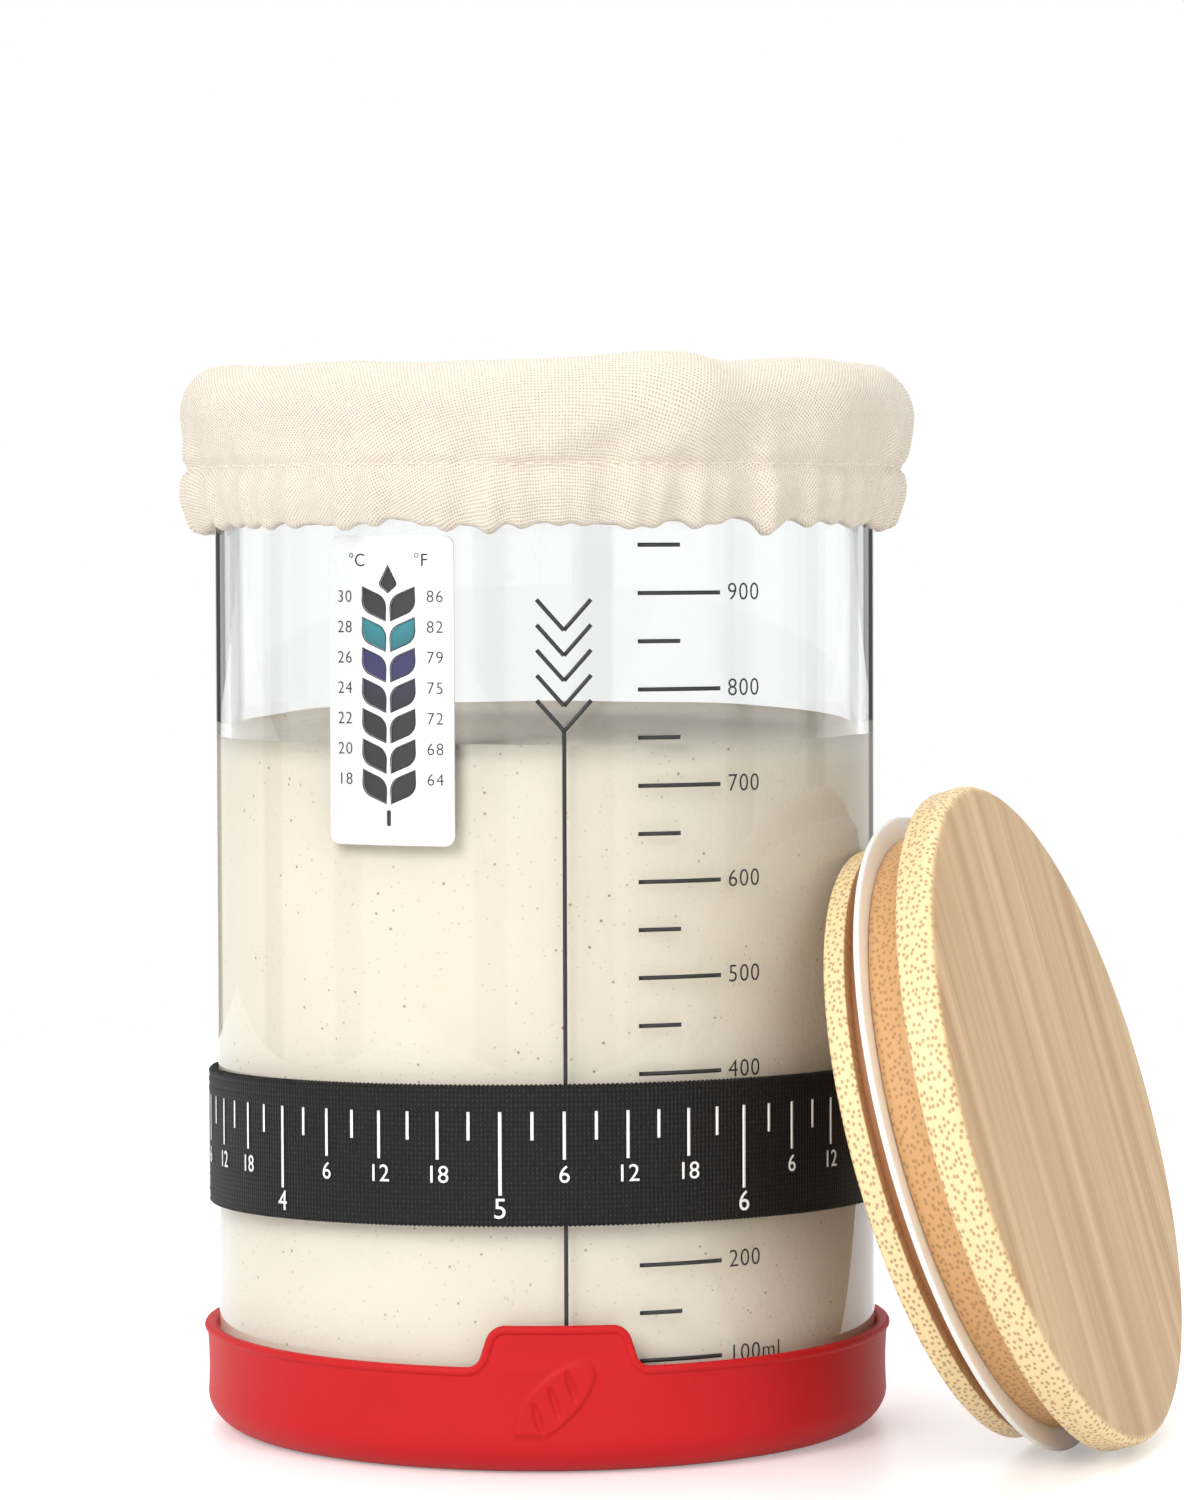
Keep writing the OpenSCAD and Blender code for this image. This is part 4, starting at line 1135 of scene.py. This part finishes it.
class AddCover(bpy.types.Operator):
    """Adds the gathered linen cover with its sewn hem"""
    bl_idname = "starter_jar.add_cover"
    bl_label = "Cloth cover"

    def execute(self, context):
        """A smooth section is turned round the mouth, and gathers push it out and in along its own normal."""
        s = sizes()
        columns = 560
        angles = np.arange(columns) * TURN / columns
        line, gone = self.section(s)
        normal = np.gradient(line, axis=0)
        normal /= np.linalg.norm(normal, axis=1)[:, None]
        normal = np.stack([-normal[:, 1], normal[:, 0]], 1)
        push = self.gathers(line, gone, angles, s)
        radius = line[:, :1] + normal[:, :1] * push
        height = line[:, 1:] + normal[:, 1:] * push
        height = height + self.sag(line, angles, s)
        points = around(np.maximum(radius, 0), angles[None, :], height)
        # The flat cloth is a disc, and a point's place on it is its way from the middle along the section.
        flat_map = np.stack([gone[:, None] * np.cos(angles), gone[:, None] * np.sin(angles)], -1)
        index = np.arange(len(line) * columns).reshape(len(line), columns)
        index[0, :] = 0
        faces = [[0, a, b] for a, b in zip(index[1], np.roll(index[1], -1))]
        lower, upper = index[2:], index[1:-1]
        quads = np.stack([lower, np.roll(lower, -1, 1), np.roll(upper, -1, 1), upper], -1)
        piece = make_piece("linen_cover", points, faces + quads.reshape(-1, 4).tolist(), plain_weave_linen(), "cover",
                           flat_map)
        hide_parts("cloth_cover")
        self.add_seam(points, line, angles, s)
        return {"FINISHED"}

    @staticmethod
    def section(s):
        """Points (radius, height) from the middle of the top, over the rim and shoulder, down past the seam to the
        hem's lower edge and up inside it, with the distance gone along them."""
        crown, high = 7.4 * MM, cover_high.z - 0.5 * MM
        shoulder_r = cover_high.x - 0.5 * MM
        dish = 2.0 * MM
        top_r = shoulder_r - crown
        t = np.linspace(0, 1, 24)
        top = np.stack([top_r * t, high - dish * (1 - smooth_step(t, 0.45, 1.0))], 1)
        round_off = arc(top_r, high - crown, crown, 90, 0, 18)[1:]
        seam_r = shoulder_r - 1.6 * MM
        hem_z = cover_low.z + 0.5 * MM
        t = np.linspace(0, 1, 15)[1:]
        skirt = np.stack([shoulder_r + (seam_r - shoulder_r) * t ** 1.4,
                          high - crown + (s.seam_height - high + crown) * t], 1)
        bulge = 0.8 * MM
        t = np.linspace(0, 1, 18)[1:]
        hem = np.stack([seam_r - 0.2 * MM + bulge * np.sin(math.pi * t) - 0.6 * MM * t,
                        s.seam_height + (hem_z + 1.2 * MM - s.seam_height) * t], 1)
        low_r = hem[-1, 0]
        fold = arc(low_r - 1.3 * MM, hem_z + 1.2 * MM, 1.3 * MM, 0, -180, 7)[1:] * [1, 1]
        t = np.linspace(0, 1, 7)[1:]
        inner = np.stack([fold[-1, 0] - 1.0 * MM * np.sin(math.pi / 2 * t), fold[-1, 1]
                          + (s.seam_height - 1.0 * MM - fold[-1, 1]) * t], 1)
        line = np.concatenate([top, round_off, skirt, hem, fold, inner])
        return line, np.concatenate([[0], np.cumsum(np.linalg.norm(np.diff(line, axis=0), axis=1))])

    @staticmethod
    def gathers(line, gone, angles, s):
        """Sum of bell-shaped ridges round the hem and of wider, slanting ones above the seam, less their mean.

        A ridge is exp(-(d/w)^2), where d is the angle from its middle line, which leans with the way up.
        """
        draw = np.random.default_rng(11)
        z = line[:, 1:]
        rise = (z - cover_low.z) / (cover_high.z - cover_low.z)
        outer = smooth_step(line[:, :1], 30 * MM, 50 * MM)
        inner_side = np.arange(len(line))[:, None] > len(line) - 10
        shares = []
        for count, lean_span, narrow, wide in ((s.gathers, 0.05, 0.30, 0.65), (27, 0.22, 0.34, 0.7)):
            total = 0
            for i in range(count):
                middle = TURN * (i + draw.uniform(-0.34, 0.34)) / count
                lean = draw.normal(0, lean_span)
                amount = draw.uniform(0.45, 1.35)
                reach = draw.uniform(0.55, 1.5)
                width = TURN / count * (narrow + (wide - narrow) * rise)
                off = (angles[None, :] - middle - lean * rise + math.pi) % TURN - math.pi
                fade = 1 - smooth_step(rise, reach * 0.6, reach)
                total = total + amount * fade * np.exp(-(off / width) ** 2)
            shares.append(total - total.mean(1, keepdims=True))
        hem_share = 1 - smooth_step(z, s.seam_height - 1 * MM, s.seam_height + 7 * MM)
        at_seam = np.exp(-((z - s.seam_height) / (0.9 * MM)) ** 2)
        skirt_share = smooth_step(z, s.seam_height - 2 * MM, s.seam_height + 4 * MM) * outer
        push = 0.95 * MM * shares[0] * (hem_share + 0.25) * (1 - 0.45 * at_seam) * outer
        push = push + 1.25 * MM * shares[1] * skirt_share - 0.45 * MM * at_seam
        return np.where(inner_side, push * 0.35, push)

    @staticmethod
    def sag(line, angles, s):
        """The top rises and falls by under a millimetre, and the lower edge hangs unevenly."""
        radius, z = line[:, :1], line[:, 1:]
        x, y = radius * np.cos(angles), radius * np.sin(angles)
        on_top = smooth_step(z, RIM_Z - 8 * MM, RIM_Z - 1 * MM)
        low = 1 - smooth_step(z, cover_low.z, s.seam_height)
        uneven = 0.45 * MM * ripple(50 * MM * np.cos(angles), 50 * MM * np.sin(angles), 9 * MM, 21)[None, :]
        return on_top * 0.55 * MM * ripple(x, y, 26 * MM, 22) + low * (uneven + 0.1 * MM)

    @staticmethod
    def add_seam(points, line, angles, s):
        """A row of stitches, each a short round thread that lies along the seam, half sunk in the cloth."""
        row = int(np.argmin(np.abs(line[:, 1] - s.seam_height) + (line[:, 0] < 50 * MM)))
        path = points[row]
        count, sides, cuts = 136, 6, 7
        thick = 0.17 * MM
        shapes = []
        ring = np.arange(sides) * TURN / sides
        for i in range(count):
            share = (i + np.linspace(0.12, 0.88, cuts)) / count * len(angles)
            along = np.stack([np.interp(share, np.arange(len(path) + 1), np.append(path[:, k], path[0, k]))
                              for k in range(3)], 1)
            out = along * [1, 1, 0]
            out /= np.linalg.norm(out, axis=1)[:, None]
            swell = np.sin(np.linspace(0, math.pi, cuts))
            centre = along + out * (0.2 * MM * swell - 0.12 * MM)[:, None]
            round_off = thick * np.sqrt(np.maximum(swell, 0.02))
            tube = (centre[:, None, :] + out[:, None, :] * (round_off[:, None] * np.cos(ring))[..., None]
                    + np.array([0, 0, 1.0]) * (round_off[:, None] * np.sin(ring))[..., None])
            faces = grid_faces(cuts, sides, poles=False)
            faces += [list(range(sides))[::-1], [(cuts - 1) * sides + k for k in range(sides)]]
            shapes.append((tube.reshape(-1, 3), faces))
        stitched, faces = joined(shapes)
        make_piece("cover_stitches", stitched, faces, spun_thread(), "cover")


def lid_place(s):
    """Where the lid stands: it is turned on its bearing, leans on the glass with its plug and stands on its rim."""
    plug, gap = 44.9 * MM, 0.35 * MM
    disc, edge, groove, lip = 5.8 * MM, 0.6 * MM, 12.1 * MM, 0.94 * MM
    cos, sin = math.cos(s.lid_lean), math.sin(s.lid_lean)
    x = GLASS_R + gap + s.lid_thickness * cos + plug * sin
    z = max(s.lid_radius * cos + (disc - edge) * sin, 48.3 * MM * cos + (groove + lip) * sin)
    return (Matrix.Rotation(s.lid_bearing + FRONT, 4, "Z") @ Matrix.Translation((x, 0, z))
            @ Matrix.Rotation(FRONT - s.lid_lean, 4, "Y"))


def placed(points, matrix):
    """Points moved by a 4x4 matrix."""
    m = np.array(matrix)
    return points @ m[:3, :3].T + m[:3, 3]


class AddLid(bpy.types.Operator):
    """Adds the turned bamboo lid and the silicone seal in its groove"""
    bl_idname = "starter_jar.add_lid"
    bl_label = "Bamboo lid and seal"

    def execute(self, context):
        """Two profiles, drawn plug up with the face at z = 0, are turned and then stood against the jar."""
        s = sizes()
        place = lid_place(s)
        disc, plug, edge, groove_r = 5.8 * MM, 44.9 * MM, 0.6 * MM, 42.4 * MM
        groove_low, groove_high = 12.1 * MM, 15.8 * MM
        rim = 2.2 * MM
        fine = 0.25 * MM
        face = np.stack([np.linspace(0, s.lid_radius - rim, 6)[:-1], np.zeros(5)], 1)
        profile = np.concatenate([
            face,
            arc(s.lid_radius - rim, rim, rim, -90, 0, 9),
            arc(s.lid_radius - edge, disc - edge, edge, 0, 90, 4),
            arc(plug + fine, disc + fine, fine, 270, 180, 3),
            arc(plug - fine, groove_low - fine, fine, 0, 90, 3),
            [(groove_r, groove_low), (groove_r, groove_high)],
            arc(plug - fine, groove_high + fine, fine, -90, 0, 3),
            arc(plug - edge, s.lid_thickness - edge, edge, 0, 90, 4),
            [(plug / 2, s.lid_thickness), (0, s.lid_thickness)],
        ])
        columns = 240
        piece = make_piece("lid", placed(turned(profile, columns), place), grid_faces(len(profile), columns),
                           laminated_bamboo(place), "lid")
        sharpen(piece, 50)
        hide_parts("bamboo_lid")
        hub, hub_tall, lip, reach = 44.0 * MM, 1.9 * MM, 0.9 * MM, 48.3 * MM
        low, back = groove_low + 0.04 * MM, groove_r + 0.04 * MM
        high = groove_low + hub_tall
        ring = np.concatenate([
            [(back, low), (hub, low)],
            arc(reach - lip / 2, low + lip / 2, lip / 2, -90, 90, 8),
            [(hub + 0.6 * MM, low + lip), (hub, low + 1.4 * lip)],
            arc(hub - 0.2 * MM, high - 0.2 * MM, 0.2 * MM, 0, 90, 3),
            [(back, high)],
        ])
        seal = make_piece("seal", placed(turned(ring, columns), place),
                          grid_faces(len(ring), columns, wrap_rows=True, poles=False), seal_silicone(), "lid")
        sharpen(seal, 50)
        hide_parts("lid_seal")
        return {"FINISHED"}


class AddHemElastic(bpy.types.Operator):
    """Finishes the elastic inside the cover's hem"""
    bl_idname = "starter_jar.add_hem_elastic"
    bl_label = "Hem elastic"

    def execute(self, context):
        """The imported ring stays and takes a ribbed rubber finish."""
        material, tree, shader = new_material("braided hem elastic", Roughness=0.8)
        place = add_node(tree, "ShaderNodeTexCoord").outputs["Object"]
        ribs = add_node(tree, "ShaderNodeTexWave", {"bands_direction": "Z"}, {"Vector": place, "Scale": 1 / (3 * MM)})
        mix = add_node(tree, "ShaderNodeMix", {"data_type": "RGBA"},
                       {"Factor": ribs.outputs["Fac"], "A": linear("D8D2C4"), "B": linear("F3EFE6")})
        tree.links.new(mix.outputs["Result"], shader.inputs["Base Color"])
        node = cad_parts["hem_elastic"]
        node.data.materials.clear()
        node.data.materials.append(material)
        return {"FINISHED"}


class StarterJarPanel(bpy.types.Panel):
    """Lists the steps that build the jar."""
    bl_idname = "VIEW3D_PT_starter_jar"
    bl_label = "Starter Jar"
    bl_space_type = "VIEW_3D"
    bl_region_type = "UI"
    bl_category = "Starter Jar"

    def draw(self, context):
        """One button for each operator."""
        for step in STEPS:
            self.layout.operator(step.bl_idname)


STEPS = (SetStage, AddSleeve, AddGlass, AddStarter, AddPrint, AddThermometer, AddBand, AddCover, AddHemElastic,
         AddLid)
CLASSES = (StarterJarSizes, StarterJarColours) + STEPS + (StarterJarPanel,)


def register():
    """Registers the classes and gives the scene its settings."""
    for cls in CLASSES:
        bpy.utils.register_class(cls)
    bpy.types.Scene.starter_jar_sizes = PointerProperty(type=StarterJarSizes)
    bpy.types.Scene.starter_jar_colours = PointerProperty(type=StarterJarColours)


def unregister():
    """Takes the settings and the classes away again."""
    del bpy.types.Scene.starter_jar_colours
    del bpy.types.Scene.starter_jar_sizes
    for cls in reversed(CLASSES):
        bpy.utils.unregister_class(cls)


def main():
    """Builds every piece in order."""
    register()
    for step in STEPS:
        group, name = step.bl_idname.split(".")
        if getattr(getattr(bpy.ops, group), name)() != {"FINISHED"}:
            raise RuntimeError(f"{step.bl_label} could not be finished")


if __name__ == "__main__":
    main()
